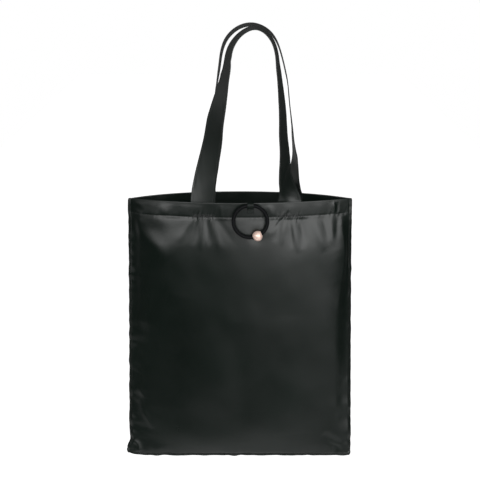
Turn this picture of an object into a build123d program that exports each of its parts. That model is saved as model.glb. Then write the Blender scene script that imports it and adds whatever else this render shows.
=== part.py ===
"""Foldable tote bag of thin coated nylon, hanging open by its two handles.

Millimetres. +Z is up, -Y is the front, +X is to the right seen from the front.
The origin is the point that carries the bag: on its middle plane, level with the
inside of the two handle arches.
"""

from build123d import *

import os
from math import asin, cos, degrees, pi, radians, sin, sqrt

os.makedirs("parts", exist_ok=True)

# ---- driving dimensions -------------------------------------------------------------
# The bag's body, from the mouth edge down.
bag_height = 420.0            # mouth edge to the lowest edge of the bottom seam
mouth_width = 350.0           # across the open mouth, seam edge to seam edge
bottom_width = 360.0          # across the bottom, seam edge to seam edge
mouth_half_depth = 40.0       # from the middle plane to the panel, halfway along the mouth
bottom_half_depth = 1.0       # what is left of that depth just above the bottom seam
flare = 1.5                   # how late the width grows from mouth to bottom
fullness_start = 2.2          # how late the panels begin to draw together, going down
fullness_end = 0.6            # how bluntly they meet at the bottom
cloth = 1.0                   # a panel with its coating and ease
panel_gap = 0.4               # between the two panels where they meet at a seam
seam_width = 5.0              # the sewn edge that stands out past the panels

# The folded band inside the mouth.
hem_depth = 24.0
hem_cloth = 0.9               # two folded layers
hem_end_inset = 7.0           # the band stops this far short of the side seams

# Handles.
handle_rise = 265.0           # mouth edge to the inside of the arches
handle_width = 38.0
handle_thickness = 1.6
arch_half_gap = 1.0           # between an arch's edge and the middle plane
anchor_depth = 30.0           # how far a strap end reaches down inside the mouth
# Each route gives x and the height over the mouth edge, from the left end to the right.
front_route = [(-57, 0), (-46.5, 68), (-32, 150), (-20, 204), (-8.5, 245), (24, 264),
               (48, 246), (58, 204), (64.5, 141), (69, 68), (76, 0)]
back_route = [(-57, 0), (-50.5, 68), (-40, 150), (-32, 200), (-21.5, 243), (9, 266),
              (46, 254), (63.5, 222), (73.5, 160), (81, 90), (80, 0)]
front_twist = (1.3, 3.6)      # how soon the left and the right leg turn edge-on
back_twist = (3.0, 5.0)
leg_steps = 17                # sections up a leg, and then up to the top of the arch
arch_steps = 4

# The elastic loop that ties the folded bag, and its bead.
loop_x = 16.0                 # the loop hangs to the right of the middle
loop_radius = 25.2            # to the middle of the elastic
elastic_radius = 2.8
elastic_end_gap = 1.2         # between the two ends of the elastic inside the sleeve
bead_radius = 7.9
bead_angle = 26.0             # from the lowest point of the loop, towards +X
sleeve_half_length = 3.5
sleeve_wall = 0.4
tab_width = 10.0
tab_cloth = 0.8
tab_drop = 16.0               # how far the tab's sewn leg reaches below the mouth edge
tab_leg_height = 8.0
loop_drop = 2.0               # the loop's pivot lies this far below the mouth edge

# Thread.
thread = 0.4                  # how far a seam thread stands proud
thread_width = 0.7
hem_stitch_margin = 1.5       # from the hem band's lower edge up to its stitch line
strap_stitch_margin = 3.0     # from a strap's edge in to its stitch line
bartack_height = 4.0
bartack_lift = 1.2            # between the hem's stitch line and a bartack
tab_stitch_margin = 1.4

# Clearances.
layer_gap = 0.15              # between cloth layers, and under a thread
seam_gap = 0.1                # between a panel's edge and the sewn edge beside it
strap_thread_gap = 0.3        # under a thread on a handle, which turns as it rises
handle_gap = 0.5              # between a handle and the strap end that carries it
swing_gap = 0.35              # round the loop in its tab, and under the bead
bead_bore_gap = 0.3
sleeve_gap = 0.05

# ---- sizes that follow -------------------------------------------------------------
mouth_z = -handle_rise
panel_height = bag_height - seam_width
mouth_panel = mouth_width / 2 - seam_width       # half the panel's width at the mouth
bottom_panel = bottom_width / 2 - seam_width
bottom_z = mouth_z - bag_height
inner_y = panel_gap / 2                          # a panel's inner face where it meets a seam
seam_half = inner_y + cloth                      # half the thickness of a sewn edge
thread_outer = -cloth - layer_gap - thread       # insets of the two faces of a thread on a panel
thread_inner = -cloth - layer_gap
hem_stitch_drop = hem_depth - hem_stitch_margin
strap_outer = 2 * layer_gap + hem_cloth          # insets of a strap end's two faces
strap_inner = strap_outer + handle_thickness
strap_middle = (strap_outer + strap_inner) / 2
# depths below the mouth edge at which the body's level slices are drawn
slice_shares = (0.14, 0.28, 0.42, 0.56, 0.68, 0.79, 0.88, 0.95, 1.0)
hem_slices = [0, hem_depth / 2, hem_depth]
stations = hem_slices + [share * panel_height for share in slice_shares]


def half_width(drop):
    """Half a panel's width at a depth below the mouth edge."""
    return mouth_panel + (bottom_panel - mouth_panel) * (drop / panel_height) ** flare


def half_depth(drop):
    """How far a panel bows out from the seams at a depth below the mouth edge."""
    full = (1 - (drop / panel_height) ** fullness_start) ** fullness_end
    return bottom_half_depth + (mouth_half_depth - bottom_half_depth) * full


def bow_radius(drop):
    w, d = half_width(drop), half_depth(drop)
    return (w * w + d * d) / (2 * d)


def face_y(x, drop, inset=0.0):
    """The front panel's inner face at x, moved towards the inside by an inset."""
    r = bow_radius(drop)
    return -inner_y - half_depth(drop) + r - sqrt((r - inset) ** 2 - x * x)


def band(drop, outer, inner, x0, x1):
    """A level slice of cloth that follows the front panel between two insets."""
    z = mouth_z - drop
    xs = (x0, (x0 + x1) / 2, x1)
    a = [(x, face_y(x, drop, outer), z) for x in xs]
    b = [(x, face_y(x, drop, inner), z) for x in xs]
    return make_face([ThreePointArc(*a), Line(a[2], b[2]), ThreePointArc(*b[::-1]), Line(b[0], a[0])])


def cloth_band(drops, outer, inner, ends):
    """Cloth along the front panel; ends gives its left and right edge at each depth."""
    return loft([band(d, outer, inner, *ends(d)) for d in drops])


def to_back(shape):
    return mirror(shape, about=Plane.XZ)


def save(shapes, name):
    solids = [s for shape in shapes for s in shape.solids()]
    export_step(solids[0] if len(solids) == 1 else Compound(children=solids), f"parts/{name}.step")


# ---- the body ----------------------------------------------------------------------
def panel():
    return cloth_band(stations, -cloth, 0, lambda d: (-half_width(d), half_width(d)))


def hem_reach(drop):
    """The left and right end of the hem's band and of its stitch line."""
    end = half_width(drop) - hem_end_inset
    return -end, end


def hem_band():
    """The mouth's folded band, which lies on the panel's inner face."""
    return cloth_band(hem_slices, layer_gap, layer_gap + hem_cloth, hem_reach)


def upright_strip(from_edge, width, y0, y1):
    """A strip down the right seam, a distance outside the panels' edge."""
    middle_y = (y0 + y1) / 2
    return loft([
        Plane((half_width(d) + from_edge + width / 2, middle_y, mouth_z - d)) * Rectangle(width, y1 - y0)
        for d in stations
    ])


def side_seam():
    return upright_strip(seam_gap, seam_width - seam_gap, -seam_half, seam_half)


def side_thread():
    y = seam_half + layer_gap
    at = (seam_width - thread_width) / 2
    front = upright_strip(at, thread_width, -y - thread, -y)
    return [front, to_back(front)]


def bottom_seam():
    z = bottom_z + (seam_width - seam_gap) / 2
    return Pos(0, 0, z) * Box(bottom_width, 2 * seam_half, seam_width - seam_gap)


def bottom_thread():
    y = seam_half + layer_gap + thread / 2
    length = bottom_width - 2 * seam_width
    front = Pos(0, -y, bottom_z + seam_width / 2) * Box(length, thread, thread_width)
    return [front, to_back(front)]


def hem_thread():
    drops = (hem_stitch_drop, hem_stitch_drop + thread_width)
    return cloth_band(drops, thread_outer, thread_inner, hem_reach)


# ---- strap ends and handles --------------------------------------------------------
def anchor(x):
    ends = (x - handle_width / 2, x + handle_width / 2)
    return cloth_band([*hem_slices, anchor_depth], strap_outer, strap_inner, lambda d: ends)


def bartack(x):
    """Close stitching on the outside, where a strap end is sewn through the hem."""
    low = hem_stitch_drop - bartack_lift
    reach = handle_width / 2 - strap_stitch_margin
    drops = (low - bartack_height, low)
    return cloth_band(drops, thread_outer, thread_inner, lambda d: (x - reach, x + reach))


class Handle:
    """A strap that rises from the front of the mouth, turns edge-on and arches over."""

    def __init__(self, route, twist):
        apex_x, self.apex = max(route, key=lambda point: point[1])
        self.twist = twist
        left, right = route[0][0], route[-1][0]
        self.base_turn = [asin(abs(x) / (bow_radius(0) - strap_middle)) for x in (left, right)]
        foot_y = {x: face_y(x, 0, strap_middle) for x in (left, right)}
        top_y = -arch_half_gap - handle_width / 2
        points = []
        for x, height in route:
            foot = foot_y[left if x < apex_x else right]
            y = foot + (top_y - foot) * height / self.apex
            points.append((x, y, mouth_z + max(height, handle_gap)))
        self.line = Spline(points, tangents=[(0, 0, 1), (0, 0, -1)])
        self.apex_x = apex_x

    def frame(self, u):
        """Where the strap is at a share of its length, its width direction and its run."""
        at, run = self.line @ u, (self.line % u).normalized()
        leg = 0 if at.X < self.apex_x else 1
        rise = min(1.0, (at.Z - mouth_z) / self.apex)
        base = self.base_turn[leg]
        turn = base + (pi / 2 - base) * (1 - (1 - rise) ** self.twist[leg])
        forward = Vector(0, -1, 0)
        forward = (forward - run * forward.dot(run)).normalized()
        across = run.cross(forward).normalized()
        return at, across * cos(turn) + forward * sin(turn), run

    def ribbon(self, width, thickness, along=0.0, proud=0.0):
        """A ribbon on the strap's line, moved along its width and out of its face."""
        top, last = leg_steps + arch_steps, 2 * (leg_steps + arch_steps)
        sections = []
        for i in range(last + 1):
            at, wide, run = self.frame(i / last)
            centre = at + wide * along + run.cross(wide) * proud
            sections.append(Plane(centre, x_dir=wide, z_dir=run) * Rectangle(width, thickness))
        cuts = (0, leg_steps, top, last - leg_steps, last)
        spans = [loft(sections[a:b + 1]) for a, b in zip(cuts, cuts[1:])]
        return spans[0].fuse(*spans[1:])

    def strap(self):
        return self.ribbon(handle_width, handle_thickness)

    def threads(self):
        """A row of thread by each edge, on both faces."""
        edge = handle_width / 2 - strap_stitch_margin
        proud = handle_thickness / 2 + strap_thread_gap + thread / 2
        return [self.ribbon(thread_width, thread, along, side)
                for along in (-edge, edge) for side in (-proud, proud)]


# ---- the elastic loop --------------------------------------------------------------
eye_inner = elastic_radius + sleeve_gap + sleeve_wall + swing_gap + (tab_width / 2) ** 2 / (2 * loop_radius)
eye_outer = eye_inner + tab_cloth
hem_face = -face_y(loop_x - tab_width / 2, 0, -cloth)   # the hem's outer face at the tab
loop_y = -(hem_face + layer_gap + thread + swing_gap + bead_radius)
pivot_z = mouth_z - loop_drop
loop_centre = Vector(loop_x, loop_y, pivot_z - loop_radius)
loop_plane = Plane(loop_centre, x_dir=(1, 0, 0), z_dir=(0, -1, 0))


def loop_point(angle):
    """A point on the elastic's middle, by its angle from the lowest point towards +X."""
    a = radians(angle)
    return loop_centre + Vector(loop_radius * sin(a), 0, -loop_radius * cos(a))


def loop_arc(a0, a1):
    return ThreePointArc(loop_point(a0), loop_point((a0 + a1) / 2), loop_point(a1))


def loop_tube(a0, a1, radius):
    """A round tube along the loop, in pieces of at most a quarter turn."""
    steps = max(2, round(abs(a1 - a0) / 85))
    turns = [a0 + (a1 - a0) * i / steps for i in range(steps + 1)]
    path = Wire([loop_arc(a, b) for a, b in zip(turns, turns[1:])])
    return sweep(Plane(path @ 0, z_dir=path % 0) * Circle(radius), path)


def elastic():
    half_gap = degrees(elastic_end_gap / 2 / loop_radius)
    return loop_tube(half_gap - 180, 180 - half_gap, elastic_radius)


def sleeve():
    """The clip that joins the two ends of the elastic, inside the tab's eye."""
    half = degrees(sleeve_half_length / loop_radius)
    bore = elastic_radius + sleeve_gap
    outer = loop_tube(180 - half, 180 + half, bore + sleeve_wall)
    return outer - loop_tube(180 - 2 * half, 180 + 2 * half, bore)


def bead():
    """A ball threaded on the loop, with a bore that follows the elastic."""
    a = radians(bead_angle)
    seat = Plane(loop_point(bead_angle), x_dir=(0, -1, 0), z_dir=(cos(a), 0, sin(a)))
    bore = loop_plane * Torus(loop_radius, elastic_radius + bead_bore_gap)
    return seat * Sphere(bead_radius) - bore


def tab():
    """A ribbon folded round the elastic, with its two ends sewn to the hem as one leg."""
    face = -hem_face - layer_gap
    leg = 2 * tab_cloth
    top = mouth_z - tab_drop + tab_leg_height
    across = Plane((loop_x - tab_width / 2, 0, 0), x_dir=(0, 1, 0), z_dir=(1, 0, 0))
    outline = Polyline((face, mouth_z - tab_drop), (face, top), (loop_y + leg / 2, pivot_z),
                       (loop_y - leg / 2, pivot_z), (face - leg, top),
                       (face - leg, mouth_z - tab_drop), close=True)
    eye = Pos(loop_y, pivot_z)
    profile = make_face(outline) + eye * Circle(eye_outer) - eye * Circle(eye_inner)
    return extrude(across * profile, tab_width)


def tab_thread():
    """The stitched box that holds the tab's leg on the hem."""
    y = -hem_face - layer_gap - 2 * tab_cloth - layer_gap - thread / 2
    wide = tab_width - 2 * tab_stitch_margin
    tall = tab_leg_height - 2 * tab_stitch_margin
    z = mouth_z - tab_drop + tab_leg_height / 2
    frame = Box(wide, thread, tall) - Box(wide - 2 * thread_width, 2 * thread, tall - 2 * thread_width)
    return Pos(loop_x, y, z) * frame


# ---- every piece, in its own file --------------------------------------------------
front_panel, hem, seam_side, stitched_hem = panel(), hem_band(), side_seam(), hem_thread()
save([front_panel], "front_panel")
save([to_back(front_panel)], "back_panel")
save([hem], "front_hem_band")
save([to_back(hem)], "back_hem_band")
save([seam_side], "right_side_seam")
save([mirror(seam_side, about=Plane.YZ)], "left_side_seam")
save([bottom_seam()], "bottom_seam")
save([stitched_hem], "front_hem_thread")
save([to_back(stitched_hem)], "back_hem_thread")
save(side_thread(), "right_seam_thread")
save([mirror(t, about=Plane.YZ) for t in side_thread()], "left_seam_thread")
save(bottom_thread(), "bottom_seam_thread")

for end, route, twist, place in (("front", front_route, front_twist, lambda s: s),
                                 ("back", back_route, back_twist, to_back)):
    handle = Handle(route, twist)
    save([place(handle.strap())], f"{end}_handle")
    save([place(t) for t in handle.threads()], f"{end}_handle_thread")
    for side, x in (("left", route[0][0]), ("right", route[-1][0])):
        save([place(anchor(x))], f"{end}_{side}_strap_end")
        save([place(bartack(x))], f"{end}_{side}_bartack")
    print(f"{end} handle: {handle.line.length:.1f} mm along the strap between its sewn ends")

loop_length = 2 * pi * loop_radius - elastic_end_gap
save([elastic()], "elastic_loop")
save([sleeve()], "loop_sleeve")
save([bead()], "loop_bead")
save([tab()], "loop_tab")
save([tab_thread()], "loop_tab_thread")
print(f"elastic: {loop_length:.1f} mm on a steady radius of {loop_radius} mm,",
      f"volume {elastic().volume:.0f} against {pi * elastic_radius ** 2 * loop_length:.0f} mm3,",
      f"ends {elastic_end_gap} mm apart")
print(f"loop pivot y {loop_y:.3f} z {pivot_z:.3f}, hem face {hem_face:.3f}, eye {eye_inner:.3f}")
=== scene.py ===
"""A foldable tote bag of thin coated nylon, hanging open by its two handles.

Metres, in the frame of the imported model: +Z up, -Y the front, +X to the right seen from
the front. A place on the body is given by its x and its drop, the depth below the mouth.
"""

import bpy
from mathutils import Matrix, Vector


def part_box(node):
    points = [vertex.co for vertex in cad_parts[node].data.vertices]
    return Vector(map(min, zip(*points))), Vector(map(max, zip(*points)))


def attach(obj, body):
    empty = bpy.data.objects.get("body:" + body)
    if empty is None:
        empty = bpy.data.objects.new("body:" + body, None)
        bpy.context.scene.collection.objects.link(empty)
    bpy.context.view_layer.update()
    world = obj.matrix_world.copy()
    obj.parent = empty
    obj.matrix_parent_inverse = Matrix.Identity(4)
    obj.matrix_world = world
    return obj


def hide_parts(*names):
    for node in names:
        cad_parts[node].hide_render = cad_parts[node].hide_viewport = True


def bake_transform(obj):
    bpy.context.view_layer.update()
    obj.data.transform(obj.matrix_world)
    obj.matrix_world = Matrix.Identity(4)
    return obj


bl_info = {
    "name": "Foldable Tote Bag",
    "version": (1, 0, 0),
    "blender": (4, 5, 0),
    "location": "3D View > Sidebar > Tote Bag",
    "description": "Makes a foldable nylon tote bag with its handles, elastic loop, bead and stitching",
    "category": "Object",
}

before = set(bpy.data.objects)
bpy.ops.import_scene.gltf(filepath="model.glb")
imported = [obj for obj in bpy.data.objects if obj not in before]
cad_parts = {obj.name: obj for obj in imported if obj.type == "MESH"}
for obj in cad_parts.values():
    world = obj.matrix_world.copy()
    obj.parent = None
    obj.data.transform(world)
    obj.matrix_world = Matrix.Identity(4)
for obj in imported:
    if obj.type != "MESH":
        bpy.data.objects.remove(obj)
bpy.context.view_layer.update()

from itertools import product
from math import asin, cos, hypot, pi, radians, sin, sqrt

import bpy
import numpy as np
from bpy.props import FloatProperty, FloatVectorProperty, IntProperty, PointerProperty
from mathutils import Vector

MM = 0.001

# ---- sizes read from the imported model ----
panel_low, panel_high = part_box("front_panel")
seam_low, seam_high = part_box("right_side_seam")
hem_low, hem_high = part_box("front_hem_band")
strap_end_low, strap_end_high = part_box("front_left_strap_end")
loop_low, loop_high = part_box("elastic_loop")
bead_low, bead_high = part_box("loop_bead")
tab_low, tab_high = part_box("loop_tab")

MOUTH_Z = panel_high.z
PANEL_HEIGHT = panel_high.z - panel_low.z
SEAM_GAP = 0.1 * MM  # between the solids of a panel and a side seam
MOUTH_HALF = seam_low.x - SEAM_GAP  # half a panel's width at the mouth
BOTTOM_HALF = panel_high.x  # and at the bottom
FOOT_REACH = seam_high.x  # half the bottom seam's length
INNER_Y = -panel_high.y  # a panel's inner face where it meets a seam
CLOTH = 1.0 * MM  # a panel's solid, from its inner to its outer face
MOUTH_DEPTH = -panel_low.y - INNER_Y - CLOTH
BOTTOM_DEPTH = 1.0 * MM  # how deep a panel's bow is at the bottom
FLARE = 1.5  # the width grows with this power of the drop
FULLNESS_START, FULLNESS_END = 2.2, 0.6  # powers of how the bow gets shallower further down
HEM_DEPTH = hem_high.z - hem_low.z
HEM_INSET = 7.0 * MM  # the inner band stops this far short of the seams
HEM_STITCH = HEM_DEPTH - 1.2 * MM  # the drop of the hem's stitch line
STRAP_INSET = 2.0 * MM  # from a panel's inner face to the middle of a strap
ANCHOR_DEPTH = strap_end_high.z - strap_end_low.z

# ---- handles: x and height over the mouth in millimetres, from the left end to the right ----
ROUTES = {
    -1: [(-57, 0), (-46.5, 68), (-32, 150), (-20, 204), (-8.5, 245), (24, 264),
         (48, 246), (58, 204), (64.5, 141), (67.6, 68), (70.5, 32), (76, 0)],
    1: [(-57, 0), (-50.5, 68), (-40, 150), (-32, 200), (-21.5, 243), (9, 266),
        (46, 254), (64, 222), (75, 160), (83.5, 90), (85.5, 50), (80, 0)],
}
TACK_X = {side: (route[0][0] * MM, route[-1][0] * MM) for side, route in ROUTES.items()}
# How a strap turns edge-on, at its left and its right end: the degrees that it turns just above the
# mouth, the power with which the rest follows, and the degrees that it turns more near LATE_RISE.
TWIST = {-1: ((0, 1.08, 5), (43, 1.4, 0)), 1: ((0, 3.0, 0), (0, 8.0, 0))}
EARLY_REACH = 0.065  # the first turn is mostly made over this share of the height
LATE_RISE, LATE_REACH = 0.7, 0.12  # where the last one lies, and how far it reaches
# Added to the power at the mouth, and the share of the height where that is gone and the lean complete.
EARLY_POWER, EARLY_RISE = 0.4, 0.6
ARCH_HALF_GAP = 1.0 * MM  # half the room between the two handles at the top
ARCH_ROLL = {-1: (-4.0, -5.0), 1: (6.0, 1.0)}  # degrees that a strap leans, at its left and its right

# ---- the elastic loop ----
LOOP_X = (tab_low.x + tab_high.x) / 2
LOOP_Y = (loop_low.y + loop_high.y) / 2
ELASTIC_RADIUS = (loop_high.y - loop_low.y) / 2
LOOP_RADIUS = (loop_high.z - loop_low.z) / 2 - ELASTIC_RADIUS
LOOP_CENTRE = Vector((LOOP_X, LOOP_Y, (loop_low.z + loop_high.z) / 2))
PIVOT_Z = LOOP_CENTRE.z + LOOP_RADIUS
BEAD_RADIUS = (bead_high.y - bead_low.y) / 2
BEAD_ANGLE = 26.0  # from the loop's lowest point towards +X
END_GAP = 1.2 * MM  # between the two ends of the elastic

# ---- the camera of the photograph ----
CAMERA_PITCH = 12.5  # degrees below the horizon
CAMERA_PLACE = (0, -2.162, 0.1473)
FLOOR_Z = -1.3

# ---- the cloth's shape ----
FOLD_FADE = 0.8  # a fold fades towards its ends with this power
BILLOW_END = 0.36  # the billows are gone this far below the stitches


def ease(t):
    """From 0 to 1 as t goes from 0 to 1, level at both ends."""
    t = np.clip(t, 0, 1)
    return t * t * (3 - 2 * t)


def onset(at, start, length):
    """0 up to a start, and 1 from a length further on."""
    return ease((at - start) / length)


def bell(t):
    return np.exp(-t * t)


def ripple(at, seed, shortest, longest, count=7):
    """An uneven wave along a line, about -1 to 1, from sines of seeded length and start."""
    rng = np.random.default_rng(seed)
    total = np.zeros(np.shape(at))
    for _ in range(count):
        total = total + np.sin(2 * pi * (at / rng.uniform(shortest, longest) + rng.uniform()))
    return total / sqrt(count)


def uneven(at, wave, first_seed=0):
    """A ripple from a row of its height, its seed, and its shortest and longest length."""
    height, seed, shortest, longest = wave
    return height * ripple(at, first_seed + seed, shortest, longest)


def swells(x, drop, seed, shortest, longest, count=14):
    """Uneven soft swells over a surface, about -1 to 1."""
    rng = np.random.default_rng(seed)
    total = np.zeros(np.broadcast(x, drop).shape)
    for _ in range(count):
        turn, length = rng.uniform(0, pi), rng.uniform(shortest, longest)
        total = total + np.sin(2 * pi * ((x * cos(turn) + drop * sin(turn)) / length + rng.uniform()))
    return total / sqrt(count)


def fold(x, drop, x0, drop0, x1, drop1, width, height):
    """A ridge, or a valley where height is negative, along a line that fades at both ends."""
    run = hypot(x1 - x0, drop1 - drop0)
    share = ((x - x0) * (x1 - x0) + (drop - drop0) * (drop1 - drop0)) / run**2
    off = ((x - x0) * (drop1 - drop0) - (drop - drop0) * (x1 - x0)) / run
    fade = np.clip(1 - (2 * share - 1) ** 2, 0, 1) ** FOLD_FADE
    return height * fade * bell(off / width)


def mound(x, drop, x0, drop0, reach_x, reach_drop, height):
    """A round swelling, or a hollow where height is negative."""
    return height * bell((x - x0) / reach_x) * bell((drop - drop0) / reach_drop)


def billow(x, below, x0, reach_x, height, reach_down):
    """A swelling below a stitch line: steep at the stitches, then fuller and flatter."""
    rise = 1 - np.exp(-np.clip(below, 0, None) / reach_down)
    return height * bell((x - x0) / reach_x) * rise * (1 - ease(below / BILLOW_END))


def curl(x, drop):
    """The raised rim of the curled corner: an arc that is open towards the seams."""
    off = np.hypot(x - CURL_X, drop - CURL_DROP) - CURL_RADIUS
    inward = (x - CURL_X) - CURL_SLANT * (drop - CURL_DROP)
    return CURL_HEIGHT * ease(CURL_SHARE + inward / (2 * CURL_RADIUS)) * bell(off / CURL_WIDTH)


def add_up(shape, x, drop, table):
    """The sum of one shape over the rows of a table in millimetres."""
    return sum(shape(x, drop, *row) for row in np.array(table) * MM)


def half_width(drop):
    return MOUTH_HALF + (BOTTOM_HALF - MOUTH_HALF) * (np.clip(drop, 0, None) / PANEL_HEIGHT) ** FLARE


def half_depth(drop):
    share = np.clip(drop / PANEL_HEIGHT, 0, 1)
    full = (1 - share**FULLNESS_START) ** FULLNESS_END
    return BOTTOM_DEPTH + (MOUTH_DEPTH - BOTTOM_DEPTH) * full


def bow_radius(drop):
    w, d = half_width(drop), half_depth(drop)
    return (w * w + d * d) / (2 * d)


def reach_out(x, drop, inset):
    """How far a cloth layer lies from the middle plane; an inset moves it to the inside."""
    r = bow_radius(drop)
    return INNER_Y + half_depth(drop) - r + np.sqrt((r - inset) ** 2 - x * x)


# Folds of the front (-1) and the back (1) in millimetres: x and drop of both ends, width, height.
FOLDS = {-1: [
    (-70, 22, -96, 62, 5.0, 0.6), (-63, 22, -72, 66, 4.5, -0.6), (-57, 22, -60, 74, 4.5, 0.7),
    (-50, 22, -47, 66, 4.0, -0.8), (-44, 22, -30, 74, 5.5, 0.8), (-36, 22, -12, 60, 4.5, -0.5),
    (64, 22, 52, 60, 4.5, -0.6), (69, 22, 64, 66, 4.0, 0.6),
    (75, 22, 80, 70, 4.0, -0.8), (81, 22, 90, 78, 4.5, 0.8), (88, 22, 104, 64, 4.5, -0.6),
    (97, 24, 98, 72, 5.5, -0.8), (112, 24, 132, 78, 7.0, 1.2), (126, 22, 140, 60, 4.0, -0.6),
    (141, 22, 143, 70, 5.5, 0.8), (152, 22, 150, 62, 4.5, -0.6),
    (76, 14, 46, 46, 2.4, -0.9), (72, 15, 42, 50, 3.6, 0.7), (24, 52, 92, 30, 9.0, 0.7),
    (-176, 24, -112, 92, 14.0, 2.6), (-156, 110, -146, 210, 16.0, 0.8),
    (-6, 190, 6, 392, 20.0, -1.8), (-92, 150, -118, 330, 26.0, -1.4),
    (70, 180, 84, 380, 30.0, 1.2), (163, 130, 160, 385, 6.0, -0.8),
    (-29, 2, -29, 22, 1.5, 0.45), (145, 2, 147, 20, 1.6, 0.9), (151, 4, 152, 21, 2.2, -0.7),
    (-171, 7, -150, 20, 5.0, -0.8), (-128, 4, -112, 20, 7.0, 0.5), (44, 3, 50, 21, 4.0, 0.6),
    (134, 380, 176, 412, 6.5, -1.3), (150, 404, 160, 418, 3.5, -0.8),
    (-172, 404, -160, 422, 3.4, -0.7), (-160, 330, -140, 372, 4.5, 0.8), (-164, 300, -150, 322, 4.0, 0.8),
], 1: [
    (-74, 22, -88, 70, 4.5, 1.0), (-80, 22, -82, 84, 3.5, -1.0), (-66, 22, -52, 66, 4.0, 0.9),
    (50, 22, 36, 70, 4.0, 0.9), (57, 22, 60, 86, 3.5, -1.1), (64, 22, 84, 72, 4.5, 1.1),
    (-150, 30, -120, 90, 7.0, 1.1), (148, 30, 120, 100, 8.0, 1.2), (150, 40, 126, 170, 12.0, 1.8),
    (-158, 80, -150, 300, 8.0, -1.4), (8, 160, -10, 380, 22.0, -1.6), (90, 150, 112, 340, 24.0, -1.3),
    (-70, 180, -90, 370, 26.0, 1.3),
]}
# Soft swellings: x, drop, reach in x and in drop, height.
MOUNDS = {
    -1: [(27, 50, 11, 11, -1.3), (-24, 68, 24, 15, 0.9), (-106, 88, 40, 40, 3.0), (162, 92, 24, 40, 3.5),
         (0, 300, 90, 80, -1.2), (-120, 250, 34, 90, -1.6), (120, 330, 60, 60, 0.8)],
    1: [(20, 290, 90, 80, -1.2), (110, 250, 36, 90, -1.3)],
}
# Where the hem itself leans out, in the same order.
HEM_MOUNDS = {
    -1: [(-142, 26, 34, 20, 4.0), (-78, 24, 26, 16, 0.9), (104, 24, 44, 16, -0.3), (-20, 24, 60, 17, -1.1)],
    1: [(130, 24, 34, 18, 1.2), (0, 24, 40, 16, 0.8)],
}
# How the panels billow below their hems: x, reach in x, height, reach downward.
BILLOWS = {
    -1: [(-122, 48, 5.6, 30), (-30, 50, 2.3, 24), (36, 50, 2.7, 34), (100, 48, 7.2, 60), (148, 36, 6.5, 85)],
    1: [(110, 60, 4.5, 28), (0, 60, 3.0, 28), (-110, 60, 4.5, 30)],
}
# The curled corner at the lower left: the middle, radius, width and height of its raised rim, how much
# of the ring there is and how it slants, and how near to the seams it starts.
CURL_X, CURL_DROP = -174 * MM, 408 * MM
CURL_RADIUS, CURL_WIDTH, CURL_HEIGHT = 12.0 * MM, 3.6 * MM, 1.7 * MM
CURL_SHARE, CURL_SLANT, CURL_EDGE = 0.7, 0.6, 4 * MM

# From here on in metres. An onset is where something starts and how long it takes to be complete. A
# wave is its height, its seed, and its shortest and longest length.
SEEDS = {-1: 40, 1: 80}
SHOULDER = 6 * MM  # the cloth is free this far below the hem's stitches
# The shortest and longest of the long and the short swells, and how high the short ones are.
LONG_SWELLS, SHORT_SWELLS, SHORT_SHARE = (0.07, 0.19), (0.03, 0.06), 0.12

# The strips that turn down to the side seams. Widths are shares of the settings.
LEFT_OPENS, LEFT_NARROWS, RIGHT_WIDENS = (0.026, 0.045), (0.2, 0.07), (0.08, 0.13)
STRIP_STARTS, STRIP_ENDS = (0.02, 0.035), (0.33, 0.07)
LEFT_LEAST, LEFT_NARROWED, RIGHT_LEAST, RIGHT_WIDENED = 0.2, 0.45, 0.35, 1.1
STRIP_FALL, STRIP_MIDDLE = 0.07, 0.06  # how far behind a strip and how near the middle it is level

# The hem, its puckers and the pleats at the bartacks.
HEM_WAVE, HEM_DRAWN_IN, HEM_DRAW_REACH = (0.8, 2, 0.02, 0.06), 0.9, 1.5 * MM
TACK_REACH = 19 * MM  # how far to each side a bartack gathers the cloth
PUCKER_WAVE, PUCKER_SLANT, PUCKER_REACH = (1.0, 3, 0.0045, 0.009), 0.25, 4.5 * MM
PUCKER_FREE, PUCKER_TACKED = 0.7, 1.6  # shares of their height, and what a bartack adds
PLEAT_PITCH, PLEAT_WAVE, PLEAT_SLANT = 3.8 * MM, (0.8, 7, 0.02, 0.05), 0.4
PLEAT_BELOW, PLEAT_REACH = 0.6 * MM, 2.4 * MM

# Beside the sewn edges and the mouth: how far in the cloth is held flat, how loose it is at the mouth
# itself, and where on the right it is full almost up to its seam.
FLAT_SIDE, FLAT_FOOT, FLAT_MOUTH, MOUTH_START = 16 * MM, 18 * MM, 9 * MM, 0.15
FULL_DROP, FULL_REACH, FULL_SHARE = 0.085, 0.048, 0.6
# Their puckers: the waves, and how fast they fade inward, start at the stitches and end at a corner.
SIDE_WAVE, SIDE_FADE, SIDE_START, SIDE_END = (1.0, 4, 0.010, 0.028), 13 * MM, 4 * MM, 8 * MM
FOOT_WAVE, FOOT_FADE, FOOT_START, FOOT_END = (0.6, 5, 0.008, 0.02), 7 * MM, 3 * MM, 8 * MM
SIDE_SLANT, SIDE_SHIFT = 0.35, 0.1  # how they slant, and what sets the two sides apart
# The least height of a side's puckers, how it changes, and where the left side's grow.
SIDE_LEAST, SIDE_CHANGE, LEFT_GROWS = 0.2, (0.3, 6, 0.06, 0.12), (0.2, 0.08)


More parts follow.
